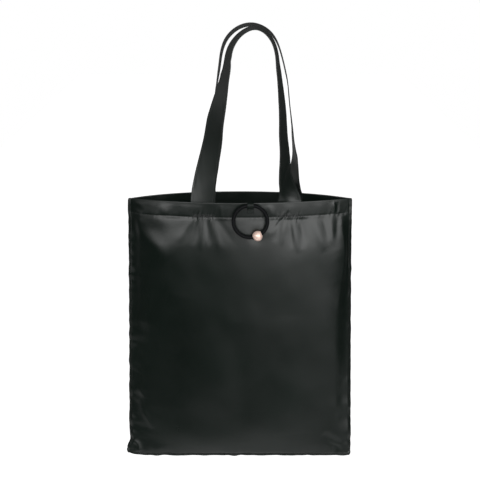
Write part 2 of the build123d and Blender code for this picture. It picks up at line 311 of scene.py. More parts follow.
def strips(x, drop, body):
    """The cloth turns down to its side seams over a narrow strip, wider on the left."""
    opening = onset(drop, *LEFT_OPENS) * (1 - LEFT_NARROWED * onset(drop, *LEFT_NARROWS))
    left = body.left_facet * (LEFT_LEAST + (1 - LEFT_LEAST) * opening)
    right = body.right_facet * (RIGHT_LEAST + RIGHT_WIDENED * onset(drop, *RIGHT_WIDENS))
    strip = np.where(x < 0, left, right)
    edge = half_width(drop) - np.abs(x)
    puff = ease(edge / strip) * bell(np.clip(edge - strip, 0, None) / STRIP_FALL)
    puff = puff * ease(np.abs(x) / STRIP_MIDDLE)
    lasting = onset(drop, *STRIP_STARTS) * (1 - onset(drop, *STRIP_ENDS))
    return body.facet_height * strip / body.left_facet * puff * lasting


def hem_relief(side, x, drop, body):
    """The hem: a stuffed band that is drawn in along its stitch line, more at the bartacks."""
    seed, below = SEEDS[side], drop - HEM_STITCH
    in_hem = np.clip(drop / HEM_STITCH, 0, 1)
    stuffed = np.sin(pi * in_hem) + ease(in_hem * 2) * uneven(x, HEM_WAVE, seed)
    drawn_in = HEM_DRAWN_IN * bell(below / HEM_DRAW_REACH)
    out = body.hem_puff * (stuffed * (1 - ease(below / SHOULDER)) - drawn_in)
    tacked = sum(np.exp(-(((x - tack) / TACK_REACH) ** 4)) for tack in TACK_X[side])
    pucker = uneven(x + PUCKER_SLANT * drop, PUCKER_WAVE, seed) * np.exp(-np.abs(below) / PUCKER_REACH)
    out = out + body.stitch_pucker * (PUCKER_FREE + PUCKER_TACKED * tacked) * pucker
    turns = 2 * pi * (x + PLEAT_SLANT * below) / PLEAT_PITCH + uneven(x, PLEAT_WAVE, seed)
    return out + body.tack_pleat * tacked * bell((below - PLEAT_BELOW) / PLEAT_REACH) * np.sin(turns)


def edge_puckers(side, x, drop, edge, foot):
    """Short puckers that start at the stitches of the side seams and the bottom seam."""
    seed = SEEDS[side]
    along = drop + SIDE_SLANT * np.abs(x) + SIDE_SHIFT * np.sign(x)
    strength = SIDE_LEAST + np.abs(uneven(drop, SIDE_CHANGE, seed))
    strength = strength + np.where(x < 0, onset(drop, *LEFT_GROWS), 0)
    at_side = np.exp(-edge / SIDE_FADE) * ease(edge / SIDE_START) * ease(foot / SIDE_END)
    at_foot = np.exp(-foot / FOOT_FADE) * ease(foot / FOOT_START) * ease(edge / FOOT_END)
    return strength * uneven(along, SIDE_WAVE, seed) * at_side + uneven(x, FOOT_WAVE, seed) * at_foot


def relief(side, x, drop, body):
    """How far the cloth stands out from its smooth bow, on the front (-1) or the back (1)."""
    seed = SEEDS[side]
    small = SHORT_SHARE * swells(x, drop, seed + 1, *SHORT_SWELLS)
    soft = body.swell_height * (swells(x, drop, seed, *LONG_SWELLS) + small)
    soft = soft + add_up(mound, x, drop, MOUNDS[side])
    out = add_up(fold, x, drop, FOLDS[side]) + soft * onset(drop, HEM_STITCH, SHOULDER)
    out = out + add_up(billow, x, drop - HEM_STITCH, BILLOWS[side]) + strips(x, drop, body)
    out = out + add_up(mound, x, drop, HEM_MOUNDS[side]) + hem_relief(side, x, drop, body)

    edge, foot = half_width(drop) - np.abs(x), PANEL_HEIGHT - drop
    full = np.where(x > 0, bell((drop - FULL_DROP) / FULL_REACH), 0.0)
    loose = ease(edge / (FLAT_SIDE * (1 - FULL_SHARE * full)))
    loose = loose * ease(foot / FLAT_FOOT) * ease(drop / FLAT_MOUTH + MOUTH_START)
    out = out * loose + body.seam_pucker * edge_puckers(side, x, drop, edge, foot)
    return out + curl(x, drop) * ease(edge / CURL_EDGE) * ease(foot / CURL_EDGE) if side < 0 else out


# How the seams stray: the side seams' waves in x and y and the bottom seam's in y and z, how much more
# the left seam does, and the length over which they start and end.
SIDE_SWAYS, LEFT_SLACK, SIDE_ONSET = ((0.22 * MM, 7, 0.02, 0.06), (1.0, 17, 0.022, 0.07)), 1.5, 0.03
FOOT_SWAYS, FOOT_ONSET = ((0.7, 27, 0.03, 0.09), (0.22 * MM, 28, 0.014, 0.05)), 0.02
SWAY_END = 4 * MM  # the side seams would be straight this far below the panels
SEAM_HOLD, FOOT_HOLD = 14 * MM, 12 * MM  # how far in the panels follow their seams
LIFT_REACH = 0.05  # how far down the back hem's lift is felt
SAG_POWER = 1.2  # the sag grows with this power of the drop


def seam_sway(hand, drop, body):
    """How far a side seam (hand -1 left, 1 right) strays in x and y at each drop."""
    slack = LEFT_SLACK if hand < 0 else 1.0
    grow = slack * ease(drop / SIDE_ONSET) * ease((PANEL_HEIGHT + SWAY_END - drop) / SIDE_ONSET)
    dx, dy = (uneven(drop, wave, hand) * grow for wave in SIDE_SWAYS)
    return dx, body.seam_sway * dy


def foot_sway(x, body):
    """How far the bottom seam strays in y and z along its length."""
    dy, dz = (uneven(x, wave) * ease((FOOT_REACH - np.abs(x)) / FOOT_ONSET) for wave in FOOT_SWAYS)
    return body.seam_sway * dy, dz


def hem_lift(side, x, drop, body):
    """The back hem is held a little higher between the straps than at its corners."""
    lift = body.back_lift if side > 0 else 0.0
    return lift * np.clip(1 - (x / MOUTH_HALF) ** 4, 0, 1) * np.exp(-np.clip(drop, 0, None) / LIFT_REACH)


def sag_at(drop, body):
    return body.sag * (drop / PANEL_HEIGHT) ** SAG_POWER


# The lower corners. The left one is drawn in at its waist, bulges out and back below it, and lifts;
# the right one is drawn in. Places are drops and onsets, and distances how far from the corner.
WAIST_DROP, WAIST_REACH, BULGE_LENGTH = 0.392, 0.009, 0.014
LEFT_LIFTS, RIGHT_DRAWS = (0.402, 0.018), (0.400, 0.012)
CORNER_REACH, CORNER_LIFT_REACH = 12 * MM, 8 * MM
WAIST_IN, BULGE_OUT, BULGE_BACK, CORNER_LIFT, RIGHT_IN = 1.6 * MM, 3.4 * MM, 1.2 * MM, 5.5 * MM, 0.8 * MM


def corner_shift(x, drop):
    """The two lower corners are not crisp: the left one bulges out, the right one is drawn in."""
    from_left, from_right = np.clip(x + BOTTOM_HALF, 0, None), np.clip(BOTTOM_HALF - x, 0, None)
    near_left = np.exp(-from_left / CORNER_REACH)
    waist = bell((drop - WAIST_DROP) / WAIST_REACH) * near_left
    bulge = onset(drop, WAIST_DROP, BULGE_LENGTH) * near_left
    right = onset(drop, *RIGHT_DRAWS) * np.exp(-from_right / CORNER_REACH)
    lift = onset(drop, *LEFT_LIFTS) * np.exp(-from_left / CORNER_LIFT_REACH)
    dx = np.where(x < 0, WAIST_IN * waist - BULGE_OUT * bulge, -RIGHT_IN * right)
    dy = np.where(x < 0, BULGE_BACK * bulge, RIGHT_IN * right)
    return dx, dy, np.where(x < 0, CORNER_LIFT * lift, 0.0)


def cloth_at(side, x, drop, inset, body):
    """Points of a cloth layer on the front (-1) or the back (1) of the body."""
    x, drop, inset = np.broadcast_arrays(x, drop, inset)
    deep = np.clip(drop, 0, PANEL_HEIGHT)
    edge = np.clip(half_width(deep) - np.abs(x), 0, None)
    near_seam, near_foot = np.exp(-edge / SEAM_HOLD), np.exp(-(PANEL_HEIGHT - deep) / FOOT_HOLD)
    (left_x, left_y), (right_x, right_y) = seam_sway(-1, deep, body), seam_sway(1, deep, body)
    foot_y, foot_z = foot_sway(x, body)
    ear_x, ear_y, ear_z = corner_shift(x, deep)
    y = side * (reach_out(x, deep, inset) + relief(side, x, deep, body))
    y = y + np.where(x < 0, left_y, right_y) * near_seam + foot_y * near_foot + ear_y
    z = MOUTH_Z - drop - sag_at(deep, body) + hem_lift(side, x, drop, body) + foot_z * near_foot + ear_z
    return np.stack([x + np.where(x < 0, left_x, right_x) * near_seam + ear_x, y, z], -1)


# ---- meshes ----
def grid_faces(rows, columns, flip=False, closed=False, ring=False):
    """Quads over a grid of points, row by row; closed joins its sides, and ring its ends too."""
    index = np.arange(rows * columns).reshape(rows, columns)
    index = np.pad(index, ((0, int(ring)), (0, int(closed or ring))), mode="wrap")
    corners = [index[:-1, :-1], index[:-1, 1:], index[1:, 1:], index[1:, :-1]]
    if flip:
        corners.reverse()
    return np.stack([c.ravel() for c in corners], -1).tolist()


def lengths_along(points):
    """How far along a line each of its points lies."""
    return np.concatenate([[0], np.cumsum(np.linalg.norm(np.diff(points, axis=0), axis=1))])


def uv_grid(across, along):
    return np.stack(np.broadcast_arrays(across[None, :], along[:, None]), -1)


def add_mesh(name, points, faces, uv=None, material=None):
    mesh = bpy.data.meshes.new(name)
    mesh.from_pydata(np.reshape(points, (-1, 3)).tolist(), [], faces)
    if uv is not None:
        layer = mesh.uv_layers.new(name="UVMap")
        loops = np.empty(len(mesh.loops), np.int64)
        mesh.loops.foreach_get("vertex_index", loops)
        layer.data.foreach_set("uv", np.reshape(uv, (-1, 2))[loops].astype(np.float32).ravel())
    mesh.shade_smooth()
    if material is not None:
        mesh.materials.append(material)
    obj = bpy.data.objects.new(name, mesh)
    bpy.context.scene.collection.objects.link(obj)
    return obj


def settle(obj):
    """Replaces an object's mesh by what its modifiers make of it."""
    bpy.context.view_layer.update()
    shaped = obj.evaluated_get(bpy.context.evaluated_depsgraph_get())
    mesh = bpy.data.meshes.new_from_object(shaped)
    obj.modifiers.clear()
    old, obj.data = obj.data, mesh
    mesh.name = obj.name
    bpy.data.meshes.remove(old)
    return obj


def thicken(obj, thickness):
    """Gives a sheet its thickness on the side away from its normals."""
    solid = obj.modifiers.new("Thickness", "SOLIDIFY")
    solid.thickness, solid.offset, solid.use_even_offset = thickness, -1, False
    return settle(obj)


def tube(name, rings, uv, material, flip=False):
    """A closed tube through rings of points, with a cap on each end."""
    rows, columns = rings.shape[:2]
    faces = grid_faces(rows, columns, flip, closed=True)
    first, last = list(range(columns)), list(range((rows - 1) * columns, rows * columns))
    faces += [first if flip else first[::-1], last[::-1] if flip else last]
    return add_mesh(name, rings, faces, uv, material)


def stretch(coarse, fine, start, stop, fine_start, fine_stop):
    """Places from start to stop, fine at the two ends and coarse between them."""
    head = np.arange(start, start + fine_start, fine)
    tail = stop - np.arange(0, fine_stop, fine)[::-1]
    middle = np.linspace(head[-1], tail[0], max(3, round((tail[0] - head[-1]) / coarse)))
    return np.concatenate([head, middle[1:-1], tail])


def settings(context):
    return context.scene.tote_body, context.scene.tote_parts, context.scene.tote_finish


# ---- materials ----
class Tree:
    """A node tree with short ways to add nodes; inputs are outputs to link or plain values."""

    def __init__(self, tree):
        self.tree = tree

    def add(self, kind, inputs=None, **values):
        node = self.tree.nodes.new(kind)
        for key, value in values.items():
            setattr(node, key, value)
        for key, value in (inputs or {}).items():
            self.put(value, node.inputs[key])
        return node

    def put(self, value, socket):
        if isinstance(value, bpy.types.NodeSocket):
            self.tree.links.new(value, socket)
        else:
            socket.default_value = value

    def math(self, operation, *values):
        return self.add("ShaderNodeMath", dict(enumerate(values)), operation=operation).outputs[0]

    def noise(self, vector, scale, detail=2.0, roughness=0.5):
        given = {"Vector": vector, "Scale": scale, "Detail": detail, "Roughness": roughness}
        return self.add("ShaderNodeTexNoise", given).outputs["Fac"]

    def waves(self, vector, scale, direction):
        given = {"Vector": vector, "Scale": scale}
        return self.add("ShaderNodeTexWave", given, bands_direction=direction).outputs["Fac"]

    def span(self, value, start, stop, low, high, how="LINEAR"):
        """Maps start to stop onto low to high."""
        given = {"Value": value, "From Min": start, "From Max": stop, "To Min": low, "To Max": high}
        return self.add("ShaderNodeMapRange", given, interpolation_type=how).outputs["Result"]

    def use(self, group, vector, **values):
        """The outputs of a shader group at a vector, with some of its values set."""
        given = {name.replace("_", " "): value for name, value in values.items()}
        return self.add("ShaderNodeGroup", {"Vector": vector, **given}, node_tree=group).outputs


def new_group(name, kind, inputs, outputs):
    """An empty node group; each socket is a label, a kind and, for a number, its usual value."""
    group = bpy.data.node_groups.new(name, kind)
    for way, sockets in (("INPUT", inputs), ("OUTPUT", outputs)):
        for label, socket_kind, *value in sockets:
            socket = group.interface.new_socket(label, in_out=way, socket_type=f"NodeSocket{socket_kind}")
            if value:
                socket.default_value = value[0]
    tree = Tree(group)
    return tree, tree.add("NodeGroupInput").outputs, tree.add("NodeGroupOutput").inputs


def shader_group(name, *outputs, **values):
    """A shader group that takes a vector and some numbers and gives some numbers."""
    inputs = [("Vector", "Vector")] + [(key.replace("_", " "), "Float", v) for key, v in values.items()]
    return new_group(name, "ShaderNodeTree", inputs, [(label, "Float") for label in outputs])


SLUB_SCALE = 0.12  # uneven places per thread
# How narrow the creases are, their depth to that of the soft land, and its patches per crease.
CREASE_SHARPNESS, CREASE_DEPTH, SOFT_SCALE = 5.0, 0.12, 0.4
DULL_SCALE = 3.1  # dull patches to one patch of shade


def weave_group():
    """Plain weave: warp and weft cross over and under at one thread's pitch."""
    tree, given, made = shader_group("Plain Weave", "Height", Threads_per_Metre=3000.0, Unevenness=0.3)
    axes = tree.add("ShaderNodeSeparateXYZ", {0: given["Vector"]}).outputs
    turns = [tree.math("MULTIPLY", axes[axis], given["Threads per Metre"]) for axis in "XY"]
    crossing = tree.math("MULTIPLY", *(tree.math("SINE", tree.math("MULTIPLY", turn, pi)) for turn in turns))
    slubs = tree.noise(given["Vector"], tree.math("MULTIPLY", given["Threads per Metre"], SLUB_SCALE), 1.0)
    slub = tree.math("MULTIPLY", slubs, given["Unevenness"])
    tree.put(tree.math("ADD", tree.math("MULTIPLY_ADD", crossing, 0.5, 0.5), slub), made["Height"])
    return tree.tree


def crinkle_group():
    """Small creases that a thin cloth keeps from being folded: sharp lines with soft land between."""
    tree, given, made = shader_group("Crinkle", "Height", Creases_per_Metre=40.0)
    lines = tree.noise(given["Vector"], given["Creases per Metre"], 3.0, 0.45)
    far = tree.math("ABSOLUTE", tree.math("SUBTRACT", lines, 0.5))
    sharp = tree.math("MINIMUM", tree.math("MULTIPLY", far, CREASE_SHARPNESS), 1.0)
    soft = tree.noise(given["Vector"], tree.math("MULTIPLY", given["Creases per Metre"], SOFT_SCALE), 1.0)
    tree.put(tree.math("ADD", tree.math("MULTIPLY", sharp, CREASE_DEPTH), soft), made["Height"])
    return tree.tree


def wear_group():
    """Slow changes of shade and shine over a surface, from handling and dye."""
    tree, given, made = shader_group("Handling", "Shade", "Dull", Patches_per_Metre=9.0)
    tree.put(tree.noise(given["Vector"], given["Patches per Metre"], 2.0), made["Shade"])
    other = tree.math("MULTIPLY", given["Patches per Metre"], DULL_SCALE)
    tree.put(tree.noise(given["Vector"], other, 3.0, 0.6), made["Dull"])
    return tree.tree


def new_material(name, **constants):
    """A material with a Principled shader whose constants stand on its own sockets."""
    material = bpy.data.materials.new(f"{name}_finish")
    material.use_nodes = True
    shader = material.node_tree.nodes["Principled BSDF"]
    for key, value in constants.items():
        shader.inputs[key.replace("_", " ")].default_value = value
    return material, Tree(material.node_tree), shader


def worn_material(name, wear, patches, pair, dull, grazed=0.0, **constants):
    """A material whose shade and shine change slowly, and what its relief is made from."""
    material, tree, shader = new_material(name, **constants)
    where = tree.add("ShaderNodeTexCoord").outputs
    handling = tree.use(wear, where["Object"], Patches_per_Metre=patches)
    given = {"Factor": handling["Shade"], "A": (*pair[0], 1), "B": (*pair[1], 1)}
    mixed = tree.add("ShaderNodeMix", given, data_type="RGBA")
    tree.put(mixed.outputs["Result"], shader.inputs["Base Color"])
    rough = tree.span(handling["Dull"], 0, 1, *dull)
    if grazed:
        facing = tree.add("ShaderNodeLayerWeight", {"Blend": 0.5}).outputs["Facing"]
        glancing = tree.math("POWER", facing, GLANCING_POWER)
        rough = tree.math("ADD", rough, tree.math("MULTIPLY", glancing, grazed))
    tree.put(rough, shader.inputs["Roughness"])
    return tree, shader, where, handling


def relief_normals(tree, shader, *heights):
    """One bump over another: each is a height and its depth in metres."""
    below = {}
    for height, depth in heights:
        bump = tree.add("ShaderNodeBump", {"Distance": depth, "Height": height, **below})
        below = {"Normal": bump.outputs["Normal"]}
    tree.put(below["Normal"], shader.inputs["Normal"])


def shades(colour, share):
    """A darker and a lighter shade of a colour."""
    return [tuple(c * (1 + s * share) for c in colour) for s in (-1, 1)]


STRAP_DULLER = 0.12  # the straps are this much duller than the panels
PATCHY_DULL = 0.05  # how much the nylon's dullness changes either way
GLANCING_DULL, GLANCING_POWER = 0.15, 4.0  # the weave scatters light that only grazes it
WEAVE_DEPTH = 0.009 * MM
# The nylon's creases and patches per metre, and how far its shades go either way.
CREASES, NYLON_PATCHES, NYLON_SHADES = 36.0, 8.0, 0.35
ELASTIC_WEAVE = 5200.0
# Depths of the relief on thread, elastic and ribbon.
STRAND_DEPTH, FIBRE_DEPTH, RIB_DEPTH = 0.05 * MM, 0.06 * MM, 0.03 * MM
STRANDS, RIBS = 900.0, 760.0  # scales of their waves
SLEEVE_SHADES = ((0.05, 0.05, 0.055), (0.09, 0.09, 0.095))


def nylon(name, groups, colour, roughness, weave, crinkle_depth):
    """Satin coated nylon: a fine weave, kept creases, and patches of more and less shine."""
    dull = (roughness - PATCHY_DULL, roughness + PATCHY_DULL)
    tree, shader, where, handling = worn_material(
        name, groups["wear"], NYLON_PATCHES, shades(colour, NYLON_SHADES), dull, GLANCING_DULL,
        Specular_IOR_Level=0.5, Sheen_Weight=0.04, Sheen_Roughness=0.5)
    creases = tree.use(groups["crinkle"], where["Object"], Creases_per_Metre=CREASES)
    threads = tree.use(groups["weave"], where["UV"], Threads_per_Metre=weave)
    relief_normals(tree, shader, (creases["Height"], crinkle_depth), (threads["Height"], WEAVE_DEPTH))


def make_materials(finish):
    """The finishes by name: nylons, thread, elastic, ribbon, and the two metals."""
    groups = {"weave": weave_group(), "crinkle": crinkle_group(), "wear": wear_group()}
    cloth, dull, wear = finish.cloth_colour, finish.cloth_roughness, groups["wear"]
    # Name, roughness, threads per metre, depth of the creases.
    for name, roughness, weave, crinkle_depth in (
            ("bag_cloth", dull, 3200, 0.12 * MM), ("hem_cloth", dull, 3200, 0.14 * MM),
            ("handle_cloth", dull + STRAP_DULLER, 3000, 0.12 * MM), ("seam_edge", dull, 3200, 0.14 * MM)):
        nylon(name, groups, cloth, roughness, weave, crinkle_depth)

    # From here on each has its patches per metre, its two shades and its least and most roughness.
    tree, shader, where, handling = worn_material(
        "thread", wear, 400.0, shades(finish.thread_colour, 0.3), (0.55, 0.7), Sheen_Weight=0.15)
    relief_normals(tree, shader, (tree.waves(where["Object"], STRANDS, "DIAGONAL"), STRAND_DEPTH))

    tree, shader, where, handling = worn_material(
        "elastic", wear, 60.0, shades(finish.elastic_colour, 0.3), (0.5, 0.66), Specular_IOR_Level=0.12)
    fibres = tree.use(groups["weave"], where["UV"], Threads_per_Metre=ELASTIC_WEAVE)
    relief_normals(tree, shader, (fibres["Height"], FIBRE_DEPTH))

    tree, shader, where, handling = worn_material(
        "tab_ribbon", wear, 90.0, shades(cloth, 0.4), (0.42, 0.56), Specular_IOR_Level=0.25)
    relief_normals(tree, shader, (tree.waves(where["UV"], RIBS, "Y"), RIB_DEPTH))

    for name, metallic, patches, pair, rough, depth in (
            ("sleeve", 1.0, 220.0, SLEEVE_SHADES, (0.3, 0.45), 0.02 * MM),
            ("bead", 0.3, 150.0, shades(finish.bead_colour, 0.05), (0.28, 0.36), 0.01 * MM)):
        tree, shader, where, handling = worn_material(name, wear, patches, pair, rough, Metallic=metallic)
        relief_normals(tree, shader, (handling["Dull"], depth))


def finish_named(name):
    return bpy.data.materials[f"{name}_finish"]


# ---- stitches ----
def thread_tree(name, *sizes):
    """A tree that turns lines into thread: it, its inputs, and the lines as a curve."""
    inputs = [("Lines", "Geometry"), *sizes, ("Thread", "Material")]
    tree, given, made = new_group(name, "GeometryNodeTree", inputs, [("Stitches", "Geometry")])
    curve = tree.add("GeometryNodeMeshToCurve", {"Mesh": given["Lines"]}).outputs["Curve"]
    return tree, given, made["Stitches"], curve


def end_tree(tree, shape, material, output):
    """Every tree of this file ends in real geometry with its material set."""
    real = tree.add("GeometryNodeRealizeInstances", {0: shape}).outputs[0]
    smooth = tree.add("GeometryNodeSetShadeSmooth", {"Geometry": real}).outputs["Geometry"]
    finish = tree.add("GeometryNodeSetMaterial", {"Geometry": smooth, "Material": material})
    tree.put(finish.outputs["Geometry"], output)
    return tree.tree


def stitch_tree():
    """Lockstitch along lines: low spindles of thread, one after another, slightly uneven."""
    tree, given, made, curve = thread_tree(
        "Row of Stitches", ("Pitch", "Float", 3.0 * MM), ("Stitch Length", "Float", 2.5 * MM),
        ("Thread Radius", "Float", 0.28 * MM), ("Unevenness", "Float", 0.12), ("Seed", "Int", 3))
    even = tree.add("GeometryNodeResampleCurve", {"Curve": curve, "Length": given["Pitch"]}, mode="LENGTH")
    random = {"Min": (-1, -1, -1), "Max": (1, 1, 1), "Seed": given["Seed"]}
    wobble = tree.add("FunctionNodeRandomValue", random, data_type="FLOAT_VECTOR").outputs["Value"]
    lean = tree.add("ShaderNodeVectorMath", {0: wobble, "Scale": given["Unevenness"]}, operation="SCALE")
    tangent = tree.add("GeometryNodeInputTangent").outputs["Tangent"]
    heading = tree.add("ShaderNodeVectorMath", {0: tangent, 1: lean.outputs[0]}, operation="ADD")
    turn = tree.add("FunctionNodeAlignRotationToVector", {"Vector": heading.outputs[0]}, axis="Z")
    spindle = tree.add("GeometryNodeMeshUVSphere", {"Segments": 6, "Rings": 6, "Radius": 1.0})
    radius, half = given["Thread Radius"], tree.math("MULTIPLY", given["Stitch Length"], 0.5)
    size = tree.add("ShaderNodeCombineXYZ", {"X": radius, "Y": radius, "Z": half})
    row = tree.add("GeometryNodeInstanceOnPoints", {
        "Points": even.outputs["Curve"], "Instance": spindle.outputs["Mesh"],
        "Rotation": turn.outputs["Rotation"], "Scale": size.outputs[0]})
    return end_tree(tree, row.outputs["Instances"], given["Thread"], made)


def cord_tree():
    """A round thread laid along lines."""
    tree, given, made, curve = thread_tree("Laid Thread", ("Thread Radius", "Float", 0.25 * MM))
    ring = tree.add("GeometryNodeCurvePrimitiveCircle",
                    {"Resolution": 6, "Radius": given["Thread Radius"]}, mode="RADIUS").outputs["Curve"]
    thread = tree.add("GeometryNodeCurveToMesh", {"Fill Caps": True, "Curve": curve, "Profile Curve": ring})
    return end_tree(tree, thread.outputs["Mesh"], given["Thread"], made)


def sew(name, lines, tree, **values):
    """Runs a stitch tree along lines of points and keeps the result as a plain mesh."""
    mesh = bpy.data.meshes.new(name)
    points, edges = [], []
    for line in lines:
        first = len(points)
        points += [tuple(p) for p in line]
        edges += [(i, i + 1) for i in range(first, len(points) - 1)]
    mesh.from_pydata(points, edges, [])
    obj = bpy.data.objects.new(name, mesh)
    bpy.context.scene.collection.objects.link(obj)
    rows = obj.modifiers.new("Stitches", "NODES")
    rows.node_group = tree
    for item in tree.interface.items_tree:
        key = item.name.replace(" ", "_")
        if item.in_out == "INPUT" and key in values:
            rows[item.identifier] = values[key]
    settle(obj)
    if not obj.data.polygons:
        raise RuntimeError(f"{name} has no stitches")
    return obj


def ride_as(obj, body, slot, *nodes):
    """Ties a finished piece to its body and hides the solids that it stands for; its material slot is not
    used.
    """
    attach(obj, body)
    if nodes:
        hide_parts(*nodes)
    return obj


# ---- handles ----
def smooth_curve(knots, first, last, step):
    """Evenly spaced points on a smooth curve through knots, with given directions at its ends."""
    knots = np.array(knots, float)
    span = np.linalg.norm(np.diff(knots, axis=0), axis=1)
    n = len(knots)
    a, b = np.eye(n), np.zeros((n, 3))
    b[0], b[-1] = first, last
    for i in range(1, n - 1):
        before, after = 1 / span[i - 1], 1 / span[i]
        a[i, i - 1:i + 2] = before, 2 * (before + after), after
        b[i] = 3 * ((knots[i] - knots[i - 1]) * before**2 + (knots[i + 1] - knots[i]) * after**2)
    slope = np.linalg.solve(a, b)
    points = []
    for i in range(n - 1):
        t = np.linspace(0, 1, 40, endpoint=False)[:, None]
        h = span[i]
        points.append(knots[i] * (1 + 2 * t) * (1 - t) ** 2 + knots[i + 1] * t**2 * (3 - 2 * t)
                      + slope[i] * h * t * (1 - t) ** 2 + slope[i + 1] * h * t**2 * (t - 1))
    return even_points(np.concatenate([*points, knots[-1:]]), step)


def even_points(points, step):
    """The same line with its points a step apart."""
    length = lengths_along(points)
    at = np.linspace(0, length[-1], max(3, round(length[-1] / step) + 1))
    return np.stack([np.interp(at, length, points[:, k]) for k in range(3)], -1)


def unit(v):
    return v / np.linalg.norm(v, axis=-1, keepdims=True)


# Unevenness along a strap: its face, its cupping and its edges.
STRAP_WAVE, STRAP_CUP = (0.35 * MM, 0, 0.06, 0.16), (0.35 * MM, 1, 0.04, 0.12)
STRAP_EDGE, EDGE_LAG = (0.15 * MM, 2, 0.02, 0.05), 3  # the two edges' waves are this many widths apart
STRAP_SEEDS = {-1: 50, 1: 60}
STRAP_FREE = 0.05  # a strap is fully uneven from this share of its height on
HEM_FOLLOW = 8 * MM  # its sewn ends follow the hem from this drop on
# Creases across the straps: place along the strap from its left end, slant, width, depth.
STRAP_CREASES = {
    -1: [(0.238, 0.6, 5 * MM, -0.7 * MM), (0.150, -0.5, 8 * MM, -0.35 * MM),
         (0.070, 0.7, 9 * MM, 0.4 * MM), (0.555, 1.1, 6 * MM, -0.6 * MM), (0.585, -0.8, 6 * MM, 0.5 * MM)],
    1: [(0.110, 0.5, 7 * MM, 0.5 * MM), (0.570, 0.9, 6 * MM, -0.6 * MM), (0.600, -0.4, 5 * MM, 0.5 * MM)],
}
# How deep and wide a strap dips at its stitch rows, and how much lower its middle is than its edges.
STITCH_DIP, STITCH_DIP_WIDTH, STRAP_DISH = 0.3 * MM, 0.7 * MM, 0.12 * MM
FORWARD = np.array([0.0, -1.0, 0.0])


class Strap:
    """A handle with its two sewn ends: its middle line, width direction and face normal."""

    def __init__(self, side, parts, body):
        route = ROUTES[side]
        feet_x = TACK_X[side]
        apex_x, apex = (v * MM for v in max(route, key=lambda point: point[1]))
        top_out = ARCH_HALF_GAP + parts.strap_width / 2
        knots = []
        for x, height in (np.array(route) * MM).tolist():
            foot = reach_out(feet_x[0] if x < apex_x else feet_x[1], 0.0, STRAP_INSET)
            knots.append((x, -foot - (top_out - foot) * height / apex, MOUTH_Z + height))
        arch = smooth_curve(knots, (0, 0, 1), (0, 0, -1), parts.strap_step)
        drops = np.arange(ANCHOR_DEPTH, 0, -parts.strap_step)
        feet = [np.stack(np.broadcast_arrays(x, -reach_out(x, drops, STRAP_INSET), MOUTH_Z - drops), -1)
                for x in feet_x]
        line = np.concatenate([feet[0], arch, feet[1][::-1]])
        run = unit(np.gradient(line, axis=0))
        rise = np.clip((line[:, 2] - MOUTH_Z) / apex, 0, 1)
        turn = self.turn(side, line[:, 0], rise, apex_x)[:, None]
        forward = unit(FORWARD - run * (run @ FORWARD)[:, None])
        self.rise, self.side, self.width = rise, side, parts.strap_width
        self.wide = unit(np.cross(run, forward)) * np.cos(turn) + forward * np.sin(turn)
        self.normal = np.cross(run, self.wide)
        self.length = lengths_along(line)

        # The sewn ends move with the hem that they lie on.
        drop = np.clip(MOUTH_Z - line[:, 2], 0, None)
        shift = relief(side, line[:, 0], drop, body) * ease(drop / HEM_FOLLOW)
        self.line = line + shift[:, None] * FORWARD

    @staticmethod
    def turn(side, x, rise, apex_x):
        """How far the strap is turned from lying on the hem towards edge-on, all along it."""
        base = np.where(x < apex_x, *(asin(abs(foot) / (bow_radius(0.0) - STRAP_INSET))
                                      for foot in TACK_X[side]))
        early, power, late = np.where((x < apex_x)[:, None], *TWIST[side]).T
        early, late = np.radians(early), np.radians(late) * bell((rise - LATE_RISE) / LATE_REACH)
        power = power + EARLY_POWER * (1 - ease(rise / EARLY_RISE))
        roll = np.interp(x, TACK_X[side], np.radians(ARCH_ROLL[side])) * ease(rise / EARLY_RISE)
        turn = base + early * (1 - np.exp(-rise / EARLY_REACH)) + roll + late
        return turn + (pi / 2 - base - early) * (1 - (1 - rise) ** power)

    def at(self, across, lift):
        """Points at a place across the strap, lifted off its middle layer, all along it."""
        s, seed, outer = self.length, STRAP_SEEDS[self.side], np.abs(across) / self.width
        height = uneven(s, STRAP_WAVE, seed) + uneven(s, STRAP_CUP, seed) * (2 * outer) ** 2
        height = height + uneven(s + across * EDGE_LAG, STRAP_EDGE, seed) * outer
        for place, slant, width, depth in STRAP_CREASES[self.side]:
            height = height + depth * bell((s - place - slant * across) / width)
        height = lift + height * ease(self.rise / STRAP_FREE)
        points = self.line + self.wide * across + self.normal * height[:, None]
        return points * np.array([1.0, -self.side, 1.0])


def strap_profile(parts):
    """The strap's outline: place across and height over the middle layer, round both faces."""
    half, thick = parts.strap_width / 2, parts.strap_thickness / 2
    row = half - parts.strap_stitch_margin
    round_edge = [(-half + thick * (1 - cos(a)), thick * sin(a)) for a in np.radians([12, 36, 62, 84])]
    face = []
    for a in np.linspace(-half + 1.2 * thick, half - 1.2 * thick, 31):
        dip = sum(bell((a - r) / STITCH_DIP_WIDTH) for r in (-row, row))
        face.append((a, thick - STITCH_DIP * dip - STRAP_DISH * (1 - (a / half) ** 2)))
    upper = [*round_edge, *face, *((-a, h) for a, h in round_edge[::-1])]
    return upper + [(a, -h) for a, h in upper[::-1]]

# ---- settings ----
def length_property(name, description, default):
    return FloatProperty(name=name, description=description, default=default, unit="LENGTH",
                         precision=5, min=0.0)


def colour_property(name, description, default):
    return FloatVectorProperty(name=name, description=description, default=default, size=3,
                               subtype="COLOR", min=0.0, max=1.0)


